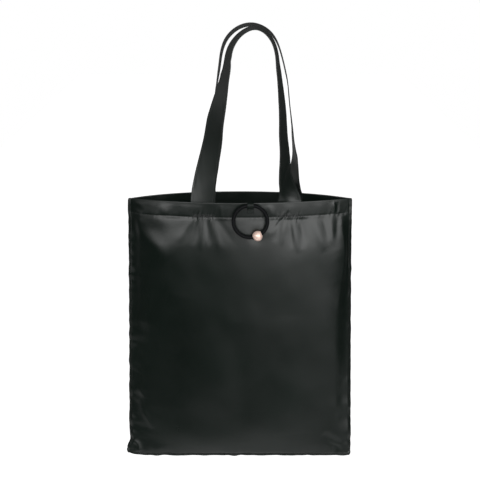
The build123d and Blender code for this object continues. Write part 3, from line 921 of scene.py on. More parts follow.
class ToteBody(bpy.types.PropertyGroup):
    cloth_thickness: length_property("Cloth", "Thickness of one layer of cloth", 0.45 * MM)
    swell_height: length_property("Swells", "Height of the soft swells of the panels", 0.6 * MM)
    hem_puff: length_property("Hem Puff", "How far the hem stands out between its edges", 0.22 * MM)
    stitch_pucker: length_property("Stitch Pucker", "Height of the puckers at the hem's stitches", 0.22 * MM)
    tack_pleat: length_property("Tack Pleats", "Height of the small pleats at the bartacks", 0.55 * MM)
    seam_pucker: length_property("Seam Pucker", "Height of the puckers beside the side seams", 0.4 * MM)
    seam_sway: length_property("Seam Sway", "How far the sewn edges stray from straight", 0.7 * MM)
    left_facet: length_property("Left Facet", "Width of the strip beside the left seam", 32.0 * MM)
    right_facet: length_property("Right Facet", "Width of the strip beside the right seam", 15.0 * MM)
    facet_height: length_property("Facet Height", "How far the panel stands out beside its seams", 3.0 * MM)
    sag: length_property("Sag", "How far the bottom hangs below its flat length", 5.0 * MM)
    back_lift: length_property("Back Lift", "How far the straps hold the back hem up", 3.2 * MM)
    panel_columns: length_property("Column Spacing", "Width of the panel mesh's cells", 2.1 * MM)
    panel_rows: length_property("Row Spacing", "Height of the panel mesh's cells", 3.4 * MM)


class ToteParts(bpy.types.PropertyGroup):
    strap_width: length_property("Strap Width", "Width of a handle", 38.0 * MM)
    strap_thickness: length_property("Strap Thickness", "Thickness of a folded handle", 1.6 * MM)
    strap_stitch_margin: length_property("Strap Margin", "From a handle's edge to its stitches", 3.0 * MM)
    strap_step: length_property("Strap Step", "Length of the handle mesh's cells", 1.8 * MM)
    stitch_pitch: length_property("Stitch Pitch", "From one stitch to the next", 3.0 * MM)
    stitch_length: length_property("Stitch Length", "Length of the thread that shows", 2.55 * MM)
    thread_radius: length_property("Thread Radius", "Half a thread's thickness", 0.26 * MM)
    braid_depth: length_property("Braid Depth", "Height of the elastic's braid", 0.13 * MM)
    bead_bore: length_property("Bead Bore", "Radius of the bead's bore", 3.1 * MM)
    braid_strands: IntProperty(name="Braid Strands", description="Strands round the elastic",
                               default=8, min=3)


class ToteFinish(bpy.types.PropertyGroup):
    cloth_colour: colour_property("Cloth", "Colour of the nylon", (0.0010, 0.0042, 0.0025))
    thread_colour: colour_property("Thread", "Colour of the stitching", (0.016, 0.017, 0.017))
    elastic_colour: colour_property("Elastic", "Colour of the elastic", (0.0025, 0.003, 0.0035))
    bead_colour: colour_property("Bead", "Colour of the bead's metal", (0.95, 0.69, 0.59))
    cloth_roughness: FloatProperty(name="Cloth Roughness", description="How dull the nylon is",
                                   default=0.30, min=0.0, max=1.0, subtype="FACTOR")
    lens: FloatProperty(name="Lens", description="Focal length of the camera", default=105.96,
                        unit="CAMERA", min=1.0)
    key_power: FloatProperty(name="Key Light", description="Power of the large light at the right",
                             default=33.0, unit="POWER", min=0.0)
    fill_power: FloatProperty(name="Second Light", description="Power of the high light at the left",
                              default=16.0, unit="POWER", min=0.0)
    surround: FloatProperty(name="Surround", description="Strength of the room's own light",
                            default=0.79, min=0.0)


# ---- operators ----
SIDES = (("front", -1), ("back", 1))
PANEL_LAP = 0.35 * MM  # a panel ends this far inside its side seams
UV_START = 0.5  # keeps the weave's coordinates above zero
ROLL, ROLL_STEPS = CLOTH + 0.02 * MM, 9  # how a panel turns over at the mouth
ROLLED_EDGE = 1.5 * MM  # and how far it goes on inside
FINE_ROWS, FINE_COLUMNS = 1.0 * MM, 1.3 * MM  # cells of a panel's mesh near its edges
FINE_BAND, FOOT_BAND = 40 * MM, 46 * MM  # how far in from the edges they go
# The close columns at a bartack: how far to each side, their least distance from the rest, their count.
TACK_BAND, TACK_ROOM, TACK_COLUMNS = 21 * MM, 0.4 * MM, 46


def panel_layer(name, side, columns, drops, insets, body, material):
    """A layer of cloth on the body as one grid, its normals away from the inside."""
    x = columns[None, :] * (half_width(np.clip(drops, 0, PANEL_HEIGHT)) + PANEL_LAP)[:, None]
    points = cloth_at(side, x, drops[:, None], insets[:, None], body)
    uv = np.stack(np.broadcast_arrays(x, drops[:, None]), -1) + UV_START
    return add_mesh(name, points, grid_faces(len(drops), len(columns), side < 0), uv, material)


def finer_at_tacks(columns, side):
    """Shares of the half width, with close columns where the bartacks pleat the cloth."""
    room = TACK_ROOM / MOUTH_HALF
    for tack in TACK_X[side]:
        first, last = (tack - TACK_BAND) / MOUTH_HALF, (tack + TACK_BAND) / MOUTH_HALF
        columns = np.concatenate([columns[columns < first - room], np.linspace(first, last, TACK_COLUMNS),
                                  columns[columns > last + room]])
    return columns


class TOTE_OT_panels(bpy.types.Operator):
    """Makes the front and the back panel, each rolled over at the mouth"""

    bl_idname = "tote.panels"
    bl_label = "Panels"

    def execute(self, context):
        body = context.scene.tote_body
        turns = np.linspace(pi, 0, ROLL_STEPS)
        straight = stretch(body.panel_rows, FINE_ROWS, ROLL + FINE_ROWS, PANEL_HEIGHT, FINE_BAND, FOOT_BAND)
        drops = np.concatenate([[ROLL + ROLLED_EDGE], ROLL * (1 - np.sin(turns)), straight])
        insets = np.concatenate([[ROLL], -ROLL * np.cos(turns), np.full(len(straight), -CLOTH)])
        coarse = stretch(body.panel_columns, FINE_COLUMNS, -BOTTOM_HALF, BOTTOM_HALF, FINE_BAND, FINE_BAND)
        for end, side in SIDES:
            columns = finer_at_tacks(coarse / BOTTOM_HALF, side)
            obj = panel_layer(f"{end}_panel_cloth", side, columns, drops, insets, body,
                              finish_named("bag_cloth"))
            thicken(obj, body.cloth_thickness)
            ride_as(obj, "bag", "bag_cloth", f"{end}_panel")
        return {"FINISHED"}


HEM_FACE = 0.95 * MM  # how far in the face of the inner band lies
# Its first row below the mouth and its last one above the hem's depth, and its rows and columns.
HEM_START, HEM_LAST, HEM_ROWS, HEM_COLUMNS = 1.6 * MM, 0.8 * MM, 22, 210
# Its lower edge, rounded off: how far above the hem's depth, and how much less far in.
HEM_EDGE = np.array([(0.25, 0.1), (0.0, 0.4), (0.3, 0.8)]) * MM


class TOTE_OT_hems(bpy.types.Operator):
    """Makes the folded bands inside the mouth"""

    bl_idname = "tote.hems"
    bl_label = "Hem Bands"

    def execute(self, context):
        body = context.scene.tote_body
        rows = np.linspace(HEM_START, HEM_DEPTH - HEM_LAST, HEM_ROWS)
        drops = np.concatenate([rows, HEM_DEPTH - HEM_EDGE[:, 0]])
        insets = np.concatenate([np.full(len(rows), HEM_FACE), HEM_FACE - HEM_EDGE[:, 1]])
        reach = 1 - HEM_INSET / MOUTH_HALF
        columns = np.linspace(-reach, reach, HEM_COLUMNS)
        for end, side in SIDES:
            obj = panel_layer(f"{end}_hem_cloth", side, columns, drops, insets, body,
                              finish_named("hem_cloth"))
            obj.data.flip_normals()
            thicken(obj, body.cloth_thickness)
            ride_as(obj, "bag", "hem_cloth", f"{end}_hem_band")
        return {"FINISHED"}


# Half a sewn edge's section in millimetres: out from the panel's edge, and half its thickness.
SEAM_SECTION = [(-3.0, 0.2), (-1.4, 0.62), (0.2, 1.0), (1.1, 1.14), (1.9, 0.98), (2.6, 1.12), (3.6, 1.1),
                (4.4, 0.78), (4.8, 0.3)]
GROOVE = 4  # the place in the section that the stitches pull in
SEAM_ROWS, FOOT_ROWS = 260, 300
SEAM_LEAN, LEAN_ONSET = 0.8, 0.06  # how the side seams lean back, as a slope, and from which drop
TOP_SHORTER, TOP_ROUND = 0.25, 1.2 * MM  # how the side seams are rounded at the mouth
FOOT_ROUND, FOOT_ROUNDING, THINNEST = 3 * MM, 3.05 * MM, 0.02  # and the bottom seam at its ends
# How the sewn edges twist, swell and reach out unevenly.
SIDE_TWIST, SIDE_SWELL = (0.08, 33, 0.012, 0.04), (0.07, 36, 0.006, 0.016)
SIDE_REACH = (0.03, 43, 0.01, 0.03)
FOOT_SWELL, FOOT_UNEVEN = (0.1, 39, 0.006, 0.016), (0.06, 45, 0.01, 0.03)


def seam_section():
    """The closed section of a sewn edge: places outward and across, in metres."""
    return (np.array(SEAM_SECTION + [(u, -t) for u, t in SEAM_SECTION[::-1]]) * MM).T


def seam_rings(hand, drops, body):
    """A sewn edge down one side: it strays, twists and swells a little, and ends rounded."""
    u, t = seam_section()
    dx, dy = seam_sway(hand, drops, body)
    edge_x = hand * half_width(drops)
    ear_x, ear_y, ear_z = corner_shift(edge_x, drops)
    twist = SEAM_LEAN * ease(drops / LEAN_ONSET) + uneven(drops, SIDE_TWIST, hand)
    swell = 1 + uneven(drops, SIDE_SWELL, hand)
    reach = 1 + uneven(drops, SIDE_REACH, hand) - TOP_SHORTER * np.exp(-drops / TOP_ROUND)
    x = (edge_x + dx + ear_x)[:, None] + hand * np.where(u > 0, u * reach[:, None], u)
    y = (dy + ear_y)[:, None] + t * swell[:, None] + np.clip(u, 0, None) * twist[:, None]
    z = MOUTH_Z - drops - sag_at(drops, body) + ear_z
    return np.stack(np.broadcast_arrays(x, y, z[:, None]), -1)


def foot_rings(body):
    """The sewn edge along the bottom, rounded off at its two ends."""
    x = np.linspace(-FOOT_REACH, FOOT_REACH, FOOT_ROWS)
    u, t = seam_section()
    past = (np.abs(x) - FOOT_REACH + FOOT_ROUND).clip(0)
    taper = np.sqrt(np.clip(1 - (past / FOOT_ROUNDING) ** 2, THINNEST, 1))
    dy, dz = foot_sway(x, body)
    ear_x, ear_y, ear_z = corner_shift(np.clip(x, -BOTTOM_HALF, BOTTOM_HALF), np.full(len(x), PANEL_HEIGHT))
    swell, reach = (1 + uneven(x, FOOT_SWELL)) * taper, (1 + uneven(x, FOOT_UNEVEN)) * taper
    y = (dy + ear_y)[:, None] + t * swell[:, None]
    z = (panel_low.z - body.sag + dz + ear_z)[:, None] - np.where(u > 0, u * reach[:, None], u)
    return np.stack(np.broadcast_arrays((x + ear_x)[:, None], y, z), -1)


class TOTE_OT_seams(bpy.types.Operator):
    """Makes the two side seams and the bottom seam"""

    bl_idname = "tote.seams"
    bl_label = "Seams"

    def execute(self, context):
        body = context.scene.tote_body
        around = lengths_along(np.stack(seam_section(), -1))
        drops = np.linspace(0, PANEL_HEIGHT, SEAM_ROWS)
        span = np.linspace(0, 2 * BOTTOM_HALF, FOOT_ROWS)
        for name, rings, along, flip in (
                ("left_side_seam", seam_rings(-1, drops, body), drops, True),
                ("right_side_seam", seam_rings(1, drops, body), drops, False),
                ("bottom_seam", foot_rings(body), span, False)):
            obj = tube(f"{name}_cloth", rings, uv_grid(around, along), finish_named("seam_edge"), flip)
            ride_as(obj, "bag", "seam_edge", name)
        return {"FINISHED"}


def bend_at_hem(obj, end, side, slot, *nodes):
    """Fixes a handle piece's placement in its mesh and hides the solids of the handle that it stands for."""
    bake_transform(obj)
    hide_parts(*(f"{end}_{node}" for node in nodes))


class TOTE_OT_handles(bpy.types.Operator):
    """Makes the two handles, with the ends that are sewn inside the mouth"""

    bl_idname = "tote.handles"
    bl_label = "Handles"

    def execute(self, context):
        body, parts = context.scene.tote_body, context.scene.tote_parts
        outline = strap_profile(parts)
        for end, side in SIDES:
            strap = Strap(side, parts, body)
            rings = np.stack([strap.at(a, h) for a, h in outline], 1)
            uv = uv_grid(lengths_along(np.array(outline)), strap.length)
            obj = tube(f"{end}_handle_strap", rings, uv, finish_named("handle_cloth"), flip=side < 0)
            bend_at_hem(obj, end, side, "handle_cloth", "handle", "left_strap_end", "right_strap_end")
        return {"FINISHED"}


LOOP_KNOTS, LOOP_SPREAD = 24, 0.55 * MM  # the loop's control points, and how much wider than round it is
# The elastic's mesh: its step along and its points round. Its spline: order and fineness.
ELASTIC_STEP, ELASTIC_ROUND, ELASTIC_ORDER, ELASTIC_FINE = 0.36 * MM, 32, 3, 16
BRAID_LAY, BRAID_MEAN = 5.6 * MM, 1.4  # one turn of a strand, and the mean of the two waves


def loop_route():
    """Control points of the elastic's line, round from one end in the tab to the other."""
    first = radians(180) - END_GAP / 2 / LOOP_RADIUS
    # A spline of this order runs inside its control points by this share.
    drawn_in = (6 + 2 * cos(2 * first / LOOP_KNOTS)) / 8
    points = []
    for i in range(LOOP_KNOTS + 1):
        a = -first + 2 * first * i / LOOP_KNOTS
        spread = LOOP_SPREAD * (cos(radians(2 * BEAD_ANGLE)) - cos(2 * a))
        r = (LOOP_RADIUS + spread) / (drawn_in if 0 < i < LOOP_KNOTS else 1)
        points.append(LOOP_CENTRE + Vector((r * sin(a), 0, -r * cos(a))))
    return points


def route_line(points):
    """Points read from a smooth spline whose control points are given."""
    curve = bpy.data.curves.new("elastic_line", "CURVE")
    curve.dimensions, curve.resolution_u = "3D", ELASTIC_FINE
    spline = curve.splines.new("NURBS")
    spline.points.add(len(points) - 1)
    for point, place in zip(spline.points, points):
        point.co = (*place, 1)
    spline.order_u, spline.use_endpoint_u = ELASTIC_ORDER, True
    obj = bpy.data.objects.new("elastic_line", curve)
    bpy.context.scene.collection.objects.link(obj)
    bpy.context.view_layer.update()
    mesh = bpy.data.meshes.new_from_object(obj.evaluated_get(bpy.context.evaluated_depsgraph_get()))
    line = np.array([v.co[:] for v in mesh.vertices])
    bpy.data.objects.remove(obj)
    bpy.data.curves.remove(curve)
    bpy.data.meshes.remove(mesh)
    return line


class TOTE_OT_elastic(bpy.types.Operator):
    """Makes the braided elastic loop and finishes the sleeve that joins its ends"""

    bl_idname = "tote.elastic"
    bl_label = "Elastic Loop"

    def execute(self, context):
        parts = context.scene.tote_parts
        line = even_points(route_line(loop_route()), ELASTIC_STEP)
        side = unit(np.cross(unit(np.gradient(line, axis=0)), FORWARD))
        around = np.linspace(0, 2 * pi, ELASTIC_ROUND, endpoint=False)
        along = lengths_along(line)
        lay, strands = 2 * pi * along[:, None] / BRAID_LAY, parts.braid_strands / 2 * around[None, :]
        braid = np.abs(np.sin(strands + lay)) + np.abs(np.sin(strands - lay))
        radius = ELASTIC_RADIUS + parts.braid_depth * (braid - BRAID_MEAN)
        out = np.cos(around)[None, :, None] * side[:, None, :] + np.sin(around)[None, :, None] * FORWARD
        rings = line[:, None, :] + radius[:, :, None] * out
        obj = tube("elastic_cord", rings, uv_grid(around * ELASTIC_RADIUS, along), finish_named("elastic"))
        ride_as(obj, "elastic_loop", "elastic", "elastic_loop")
        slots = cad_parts["loop_sleeve"].data.materials
        slots.clear()
        slots.append(finish_named("sleeve"))
        return {"FINISHED"}


BALL_STEPS, LIP_STEPS, WALL_STEPS, BEAD_ROUND = 44, 6, 6, 64
# The bead's rounded rims: their size, their depth as a share of it, and the angle where they start.
BEAD_RIM, LIP_DEPTH, LIP_START = 0.45 * MM, 0.6, 0.3
WALL_STEP = 0.2 * MM


def bead_profile(bore):
    """The bead's half section: places along the bore and radii, from the bore's middle and back to it."""
    rim_turn = asin((bore + BEAD_RIM) / BEAD_RADIUS)
    turns = np.linspace(rim_turn, pi - rim_turn, BALL_STEPS)
    ball = [(BEAD_RADIUS * cos(t), BEAD_RADIUS * sin(t)) for t in turns]
    mouth_at, mouth_r = ball[0]
    lip = [(mouth_at - BEAD_RIM * (1 - cos(t)) * LIP_DEPTH, mouth_r - BEAD_RIM * sin(t))
           for t in np.linspace(LIP_START, pi / 2, LIP_STEPS)]
    entry = lip + [(s, bore) for s in np.linspace(lip[-1][0] - WALL_STEP, 0, WALL_STEPS)]
    return entry[::-1] + ball + [(-s, r) for s, r in entry[:-1]]


class TOTE_OT_bead(bpy.types.Operator):
    """Makes the metal bead, turned on the loop's line, with a bore that follows it"""

    bl_idname = "tote.bead"
    bl_label = "Bead"

    def execute(self, context):
        bore = context.scene.tote_parts.bead_bore
        a = radians(BEAD_ANGLE)
        run, outward, sideways = Vector((cos(a), 0, sin(a))), Vector((sin(a), 0, -cos(a))), Vector(FORWARD)
        centre = LOOP_CENTRE + outward * LOOP_RADIUS
        rings = []
        for s, r in bead_profile(bore):
            hold = min(1.0, max(0.0, (BEAD_RADIUS - r) / (BEAD_RADIUS - bore))) ** 0.5
            middle = centre + run * s - outward * (hold * s * s / (2 * LOOP_RADIUS))
            rings.append([(middle + (outward * cos(t) + sideways * sin(t)) * r)[:]
                          for t in np.linspace(0, 2 * pi, BEAD_ROUND, endpoint=False)])
        faces = grid_faces(len(rings), BEAD_ROUND, flip=True, ring=True)
        obj = add_mesh("loop_bead_metal", np.array(rings), faces, None, finish_named("bead"))
        ride_as(obj, "loop_bead", "bead", "loop_bead")
        return {"FINISHED"}


RIBBON = 0.7 * MM  # the tab's ribbon: its thickness
TAB_GAP = 0.05 * MM  # behind its first leg, and between its two legs
TAB_LEG_Y = tab_high.y - TAB_GAP
TAB_FACE_Y = TAB_LEG_Y - 2 * RIBBON - TAB_GAP  # the outer face of the sewn leg
# The eye round the elastic: its room below the tab's top, and where it starts and ends in degrees.
EYE_ROOM, EYE_START, EYE_END, EYE_STEPS = 0.1 * MM, -20, 255, 34
# The two legs: heights of their top and of their straight part, and how both lean forward at the top.
LEG_TOP, LEG_STRAIGHT = tab_low.z + 8 * MM, tab_low.z + 4 * MM
LEG_IN, LEG_OUT, TAB_STEP = 0.2 * MM, 0.4 * MM, 0.4 * MM
# The ribbon's edges are rounded over this share of half its thickness, down to this share of it.
RIBBON_EDGE, RIBBON_THIN, RIBBON_COLUMNS, RIBBON_UV = 0.6, 0.15, 15, 0.06


class TOTE_OT_tab(bpy.types.Operator):
    """Makes the ribbon that is folded round the elastic and sewn to the hem"""

    bl_idname = "tote.tab"
    bl_label = "Tab"

    def execute(self, context):
        half, edge = (tab_high.x - tab_low.x) / 2, RIBBON / 2
        eye = (tab_high.z - PIVOT_Z) - edge - EYE_ROOM
        back, front = TAB_LEG_Y - edge, TAB_FACE_Y + edge
        knots = [(0, back, tab_low.z), (0, back, LEG_STRAIGHT), (0, back - LEG_IN, LEG_TOP)]
        knots += [(0, LOOP_Y + eye * cos(t), PIVOT_Z + eye * sin(t))
                  for t in np.radians(np.linspace(EYE_START, EYE_END, EYE_STEPS))]
        knots += [(0, front - LEG_OUT, LEG_TOP), (0, front, LEG_STRAIGHT), (0, front, tab_low.z)]
        line = smooth_curve(knots, (0, 0, 1), (0, 0, -1), TAB_STEP)
        normal = np.cross(unit(np.gradient(line, axis=0)), np.array([1.0, 0.0, 0.0]))
        flat = half - edge * RIBBON_EDGE
        across = np.concatenate([[-half], np.linspace(-flat, flat, RIBBON_COLUMNS), [half]])
        lift = np.concatenate([[RIBBON_THIN * edge], np.full(RIBBON_COLUMNS, edge), [RIBBON_THIN * edge]])
        across, lift = np.concatenate([across, across[::-1]]), np.concatenate([lift, -lift[::-1]])
        rings = np.stack([line + np.array([LOOP_X + a, 0, 0]) + normal * h for a, h in zip(across, lift)], 1)
        uv = uv_grid(across, np.linspace(0, RIBBON_UV, len(line)))
        obj = tube("loop_tab_ribbon", rings, uv, finish_named("tab_ribbon"))
        ride_as(obj, "bag", "tab_ribbon", "loop_tab")
        return {"FINISHED"}


LINE_POINTS = 400
# How far from a seam's ends its thread starts and stops, and how far the hem's, as a share of its inset.
SEAM_THREAD_TOP, SEAM_THREAD_END, FOOT_THREAD_END, HEM_THREAD_END = 3 * MM, 2 * MM, 6 * MM, 0.3
HEM_THREAD_LIFT, STRAP_THREAD_SUNK = 0.08 * MM, 0.22 * MM  # off the hem's face, below the strap's
TAB_PITCH, TAB_STITCH, TAB_THREAD = 1.5 * MM, 1.3 * MM, 0.2 * MM
HANDLE_SEED, SEAM_SEED, FOOT_SEED, TAB_SEED = 5, 9, 12, 15


def hem_line(side, body):
    """The stitch line on the outside of a hem."""
    x = np.linspace(-1, 1, LINE_POINTS) * (half_width(HEM_STITCH) - HEM_INSET * HEM_THREAD_END)
    return cloth_at(side, x, HEM_STITCH, -CLOTH - HEM_THREAD_LIFT, body)


def groove_lines(rings):
    """The stitch lines on both faces of a sewn edge, along its middle."""
    return [rings[:, GROOVE], rings[:, -1 - GROOVE]]


class TOTE_OT_stitches(bpy.types.Operator):
    """Sews the hems, seams, handles and the tab"""

    bl_idname = "tote.stitches"
    bl_label = "Stitches"

    def execute(self, context):
        body, parts = context.scene.tote_body, context.scene.tote_parts
        tree = stitch_tree()
        sizes = dict(Pitch=parts.stitch_pitch, Stitch_Length=parts.stitch_length,
                     Thread_Radius=parts.thread_radius, Thread=finish_named("thread"))
        rows_at = parts.strap_width / 2 - parts.strap_stitch_margin
        lift = parts.strap_thickness / 2 - STRAP_THREAD_SUNK
        for seed, (end, side) in enumerate(SIDES):
            row = sew(f"{end}_hem_stitches", [hem_line(side, body)], tree, Seed=seed, **sizes)
            ride_as(row, "bag", "thread", f"{end}_hem_thread")
            strap = Strap(side, parts, body)
            lines = [strap.at(a, h) for a in (-rows_at, rows_at) for h in (-lift, lift)]
            row = sew(f"{end}_handle_stitches", lines, tree, Seed=seed + HANDLE_SEED, **sizes)
            bend_at_hem(row, end, side, "thread", "handle_thread")

        drops = np.linspace(SEAM_THREAD_TOP, PANEL_HEIGHT - SEAM_THREAD_END, LINE_POINTS)
        foot = foot_rings(body)
        foot = foot[np.abs(foot[:, 0, 0]) < FOOT_REACH - FOOT_THREAD_END]
        for name, rings, seed in (("left_seam", seam_rings(-1, drops, body), SEAM_SEED),
                                  ("right_seam", seam_rings(1, drops, body), SEAM_SEED + 1),
                                  ("bottom_seam", foot, FOOT_SEED)):
            row = sew(f"{name}_stitches", groove_lines(rings), tree, Seed=seed, **sizes)
            ride_as(row, "bag", "thread", f"{name}_thread")

        low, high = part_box("loop_tab_thread")
        y = TAB_FACE_Y - TAB_GAP
        corners = [(x, y, z) for x, z in ((low.x, low.z), (high.x, low.z), (high.x, high.z), (low.x, high.z),
                                          (low.x, low.z))]
        sizes.update(Pitch=TAB_PITCH, Stitch_Length=TAB_STITCH, Thread_Radius=TAB_THREAD)
        row = sew("loop_tab_stitches", [corners], tree, Seed=TAB_SEED, **sizes)
        ride_as(row, "bag", "thread", "loop_tab_thread")
        return {"FINISHED"}


TACK_ZIGZAGS, TACK_FINE = 13, 6
TACK_BELOW, TACK_ABOVE = 1.4 * MM, 0.6 * MM  # the zigzag's ends: below the stitches, below the bar's top
TACK_WAVE = (0.25 * MM, 70, 0.002, 0.006)
TACK_THREAD, TACK_LIFT = 0.32 * MM, 0.12 * MM


class TOTE_OT_bartacks(bpy.types.Operator):
    """Sews the zigzag bars that hold the strap ends through the hem"""

    bl_idname = "tote.bartacks"
    bl_label = "Bartacks"

    def execute(self, context):
        body, tree = context.scene.tote_body, cord_tree()
        turns = np.arange(2 * TACK_ZIGZAGS + 1)
        fine = np.linspace(0, turns[-1], TACK_FINE * turns[-1] + 1)
        for (end, side), hand in product(SIDES, ("left", "right")):
            name = f"{end}_{hand}_bartack"
            low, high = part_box(name)
            x = np.linspace(low.x, high.x, len(turns))
            drops = np.where(turns % 2, HEM_STITCH + TACK_BELOW, MOUTH_Z - high.z + TACK_ABOVE)
            drops = drops + uneven(x, TACK_WAVE)
            x, drops = (np.interp(fine, turns, v) for v in (x, drops))
            line = cloth_at(side, x, drops, -CLOTH - TACK_LIFT, body)
            bar = sew(f"{name}_stitches", [line], tree, Thread_Radius=TACK_THREAD,
                      Thread=finish_named("thread"))
            ride_as(bar, "bag", "thread", name)
        return {"FINISHED"}


# How light the room's walls are, by the heading from the front: from behind, over the left,
# the front and the right, to behind again (headings in degrees).
ROOM_WALLS = [(-180, 0.15), (-150, 0.1), (-134, 0.05), (-118, 0.9), (-109, 0.8), (-99, 0.03), (-20, 0.04),
              (2, 0.8), (22, 1.0), (42, 1.0), (55, 0.06), (100, 0.02), (180, 0.02)]
# How the walls get lighter upward: from and to a height of the view, from and to a share. Left of
# LEFT_WALL and in front of FRONT_WALL they are lit above the low dark part.
LOW_WALLS, HIGH_LEFT = (-0.55, -0.12, 0.25, 1.0), (-0.03, 0.07, 0.0, 0.7)
LEFT_WALL, FRONT_WALL = -0.35, -0.25
BEHIND, LOW = 0.93, -0.1  # mirror-like surfaces see white low behind the bag
FLOOR_HALF, FLOOR_NEAR, FLOOR_FAR = 1.6, -0.8, 12.0
FLOOR_GREY, FLOOR_GLOW = 0.8, 0.9
FLOOR_MIRRORED = (1.5, 3.2, 0.17, 0.5)  # from and to a distance, from and to a share of the glow
AIM = (0, 0, MOUTH_Z - 0.2)  # the lamps point here
KEY, UPPER_LEFT = ((0.98, -1.95, 0.2), 2.3, 1.7), ((-0.8, -1.9, 0.32), 1.2, 1.3)  # place, width, height

def set_stops(ramp, stops):
    """Fills a colour ramp with greys at headings from -180 to 180 degrees."""
    while len(ramp.elements) < len(stops):
        ramp.elements.new(0.5)
    for element, (heading, grey) in zip(ramp.elements, stops):
        element.position = (heading + 180) / 360
        element.color = (grey, grey, grey, 1)


def add_light(name, place, width, height, power):
    """A rectangular lamp that points at the bag."""
    data = bpy.data.lights.new(name, "AREA")
    data.shape, data.size, data.size_y, data.energy = "RECTANGLE", width, height, power
    light = bpy.data.objects.new(name, data)
    light.location = place
    light.rotation_euler = (Vector(AIM) - Vector(place)).to_track_quat("-Z", "Y").to_euler()
    bpy.context.scene.collection.objects.link(light)


def seen_directly(tree, also):
    """1 where the camera or clear material sees this surface, as much as also where a mirror does."""
    path = tree.add("ShaderNodeLightPath").outputs
    clear = tree.math("MAXIMUM", path["Is Camera Ray"], path["Is Transmission Ray"])
    return tree.math("MAXIMUM", clear, tree.math("MULTIPLY", path["Is Glossy Ray"], also))


def light_room(world, surround):
    """White to the eye, and for what the bag mirrors a room with lighter and darker walls."""
    world.use_nodes = True
    tree = Tree(world.node_tree)
    view = tree.add("ShaderNodeTexCoord").outputs["Generated"]
    axes = tree.add("ShaderNodeSeparateXYZ", {0: view}).outputs
    heading = tree.math("ARCTAN2", axes["X"], tree.math("MULTIPLY", axes["Y"], -1.0))
    walls = tree.add("ShaderNodeValToRGB", {"Fac": tree.span(heading, -pi, pi, 0, 1)})
    set_stops(walls.color_ramp, ROOM_WALLS)
    room = tree.math("MULTIPLY", walls.outputs["Color"], tree.span(axes["Z"], *LOW_WALLS, "SMOOTHSTEP"))
    corner = tree.math("MULTIPLY", tree.math("LESS_THAN", axes["X"], LEFT_WALL),
                       tree.math("LESS_THAN", axes["Y"], FRONT_WALL))
    high_left = tree.math("MULTIPLY", tree.span(axes["Z"], *HIGH_LEFT, "SMOOTHSTEP"), corner)
    room = tree.math("MULTIPLY", tree.math("MAXIMUM", room, high_left), surround)
    low_behind = tree.math("MULTIPLY", tree.math("GREATER_THAN", axes["Y"], BEHIND),
                           tree.math("LESS_THAN", axes["Z"], LOW))
    strength = tree.add("ShaderNodeMix", {"Factor": seen_directly(tree, low_behind), "A": room, "B": 1.0})
    background = world.node_tree.nodes["Background"]
    tree.put((1, 1, 1, 1), background.inputs["Color"])
    tree.put(strength.outputs["Result"], background.inputs["Strength"])


def floor_material():
    """A pale floor that is white to the eye and keeps a soft shadow; from below it is clear."""
    material, tree, shader = new_material(
        "studio_floor", Roughness=0.9, Base_Color=(FLOOR_GREY, FLOOR_GREY, FLOOR_GREY, 1))
    place = tree.add("ShaderNodeTexCoord").outputs["Object"]
    away = tree.add("ShaderNodeVectorMath", {0: place}, operation="LENGTH").outputs["Value"]
    white = seen_directly(tree, tree.span(away, *FLOOR_MIRRORED, "SMOOTHSTEP"))
    glow = tree.add("ShaderNodeEmission", {"Strength": tree.math("MULTIPLY", white, FLOOR_GLOW)})
    both = tree.add("ShaderNodeAddShader", {0: shader.outputs[0], 1: glow.outputs[0]})
    below = tree.add("ShaderNodeNewGeometry").outputs["Backfacing"]
    clear = tree.add("ShaderNodeBsdfTransparent").outputs[0]
    sides = tree.add("ShaderNodeMixShader", {"Fac": below, 1: both.outputs[0], 2: clear})
    tree.put(sides.outputs[0], material.node_tree.nodes["Material Output"].inputs["Surface"])
    return material


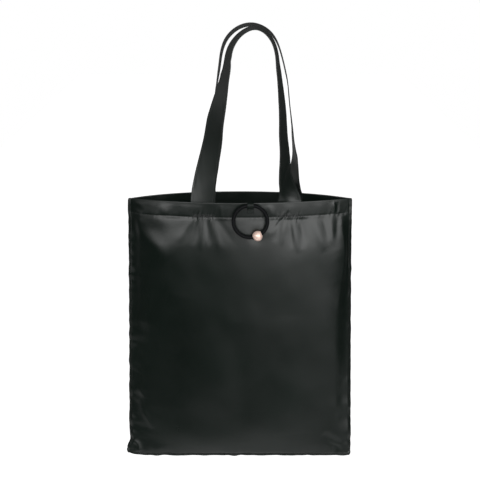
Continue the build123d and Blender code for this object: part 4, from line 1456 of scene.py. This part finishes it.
class TOTE_OT_stage(bpy.types.Operator):
    """Makes the floor, the white surround, the lights and the camera"""

    bl_idname = "tote.stage"
    bl_label = "Studio"

    def execute(self, context):
        scene, finish = context.scene, context.scene.tote_finish
        scene.view_settings.view_transform = "Standard"
        scene.world = bpy.data.worlds.new("Studio")
        light_room(scene.world, finish.surround)

        corners = [(x, y, FLOOR_Z) for x, y in ((-FLOOR_HALF, FLOOR_NEAR), (FLOOR_HALF, FLOOR_NEAR),
                                                (FLOOR_HALF, FLOOR_FAR), (-FLOOR_HALF, FLOOR_FAR))]
        add_mesh("floor", np.array(corners), [(0, 1, 2, 3)], None, floor_material())
        add_light("key", *KEY, finish.key_power)
        add_light("upper_left", *UPPER_LEFT, finish.fill_power)

        camera = bpy.data.cameras.new("camera")
        camera.lens = finish.lens
        view = bpy.data.objects.new("camera", camera)
        view.location = CAMERA_PLACE
        view.rotation_euler = (radians(90 - CAMERA_PITCH), 0, 0)
        scene.collection.objects.link(view)
        scene.camera = view
        return {"FINISHED"}


class TOTE_OT_finishes(bpy.types.Operator):
    """Mixes the nylon, thread, elastic and metal finishes"""

    bl_idname = "tote.finishes"
    bl_label = "Finishes"

    def execute(self, context):
        make_materials(context.scene.tote_finish)
        return {"FINISHED"}


OPERATORS = (TOTE_OT_finishes, TOTE_OT_panels, TOTE_OT_hems, TOTE_OT_seams, TOTE_OT_handles, TOTE_OT_bead,
             TOTE_OT_elastic, TOTE_OT_tab, TOTE_OT_stitches, TOTE_OT_bartacks, TOTE_OT_stage)


class TOTE_PT_bag(bpy.types.Panel):
    """Lists the bag's sizes, finishes and pieces"""

    bl_idname = "TOTE_PT_bag"
    bl_label = "Foldable Tote Bag"
    bl_space_type = "VIEW_3D"
    bl_region_type = "UI"
    bl_category = "Tote Bag"

    def draw(self, context):
        for group in settings(context):
            box = self.layout.box()
            for name in group.bl_rna.properties.keys():
                if name not in ("rna_type", "name"):
                    box.prop(group, name)
        for operator in OPERATORS:
            self.layout.operator(operator.bl_idname)


CLASSES = (ToteBody, ToteParts, ToteFinish, *OPERATORS, TOTE_PT_bag)


def register():
    for cls in CLASSES:
        bpy.utils.register_class(cls)
    bpy.types.Scene.tote_body = PointerProperty(type=ToteBody)
    bpy.types.Scene.tote_parts = PointerProperty(type=ToteParts)
    bpy.types.Scene.tote_finish = PointerProperty(type=ToteFinish)


def unregister():
    for name in ("tote_body", "tote_parts", "tote_finish"):
        delattr(bpy.types.Scene, name)
    for cls in reversed(CLASSES):
        bpy.utils.unregister_class(cls)


def main():
    register()
    for operator in OPERATORS:
        group, name = operator.bl_idname.split(".")
        getattr(getattr(bpy.ops, group), name)()


if __name__ == "__main__":
    main()
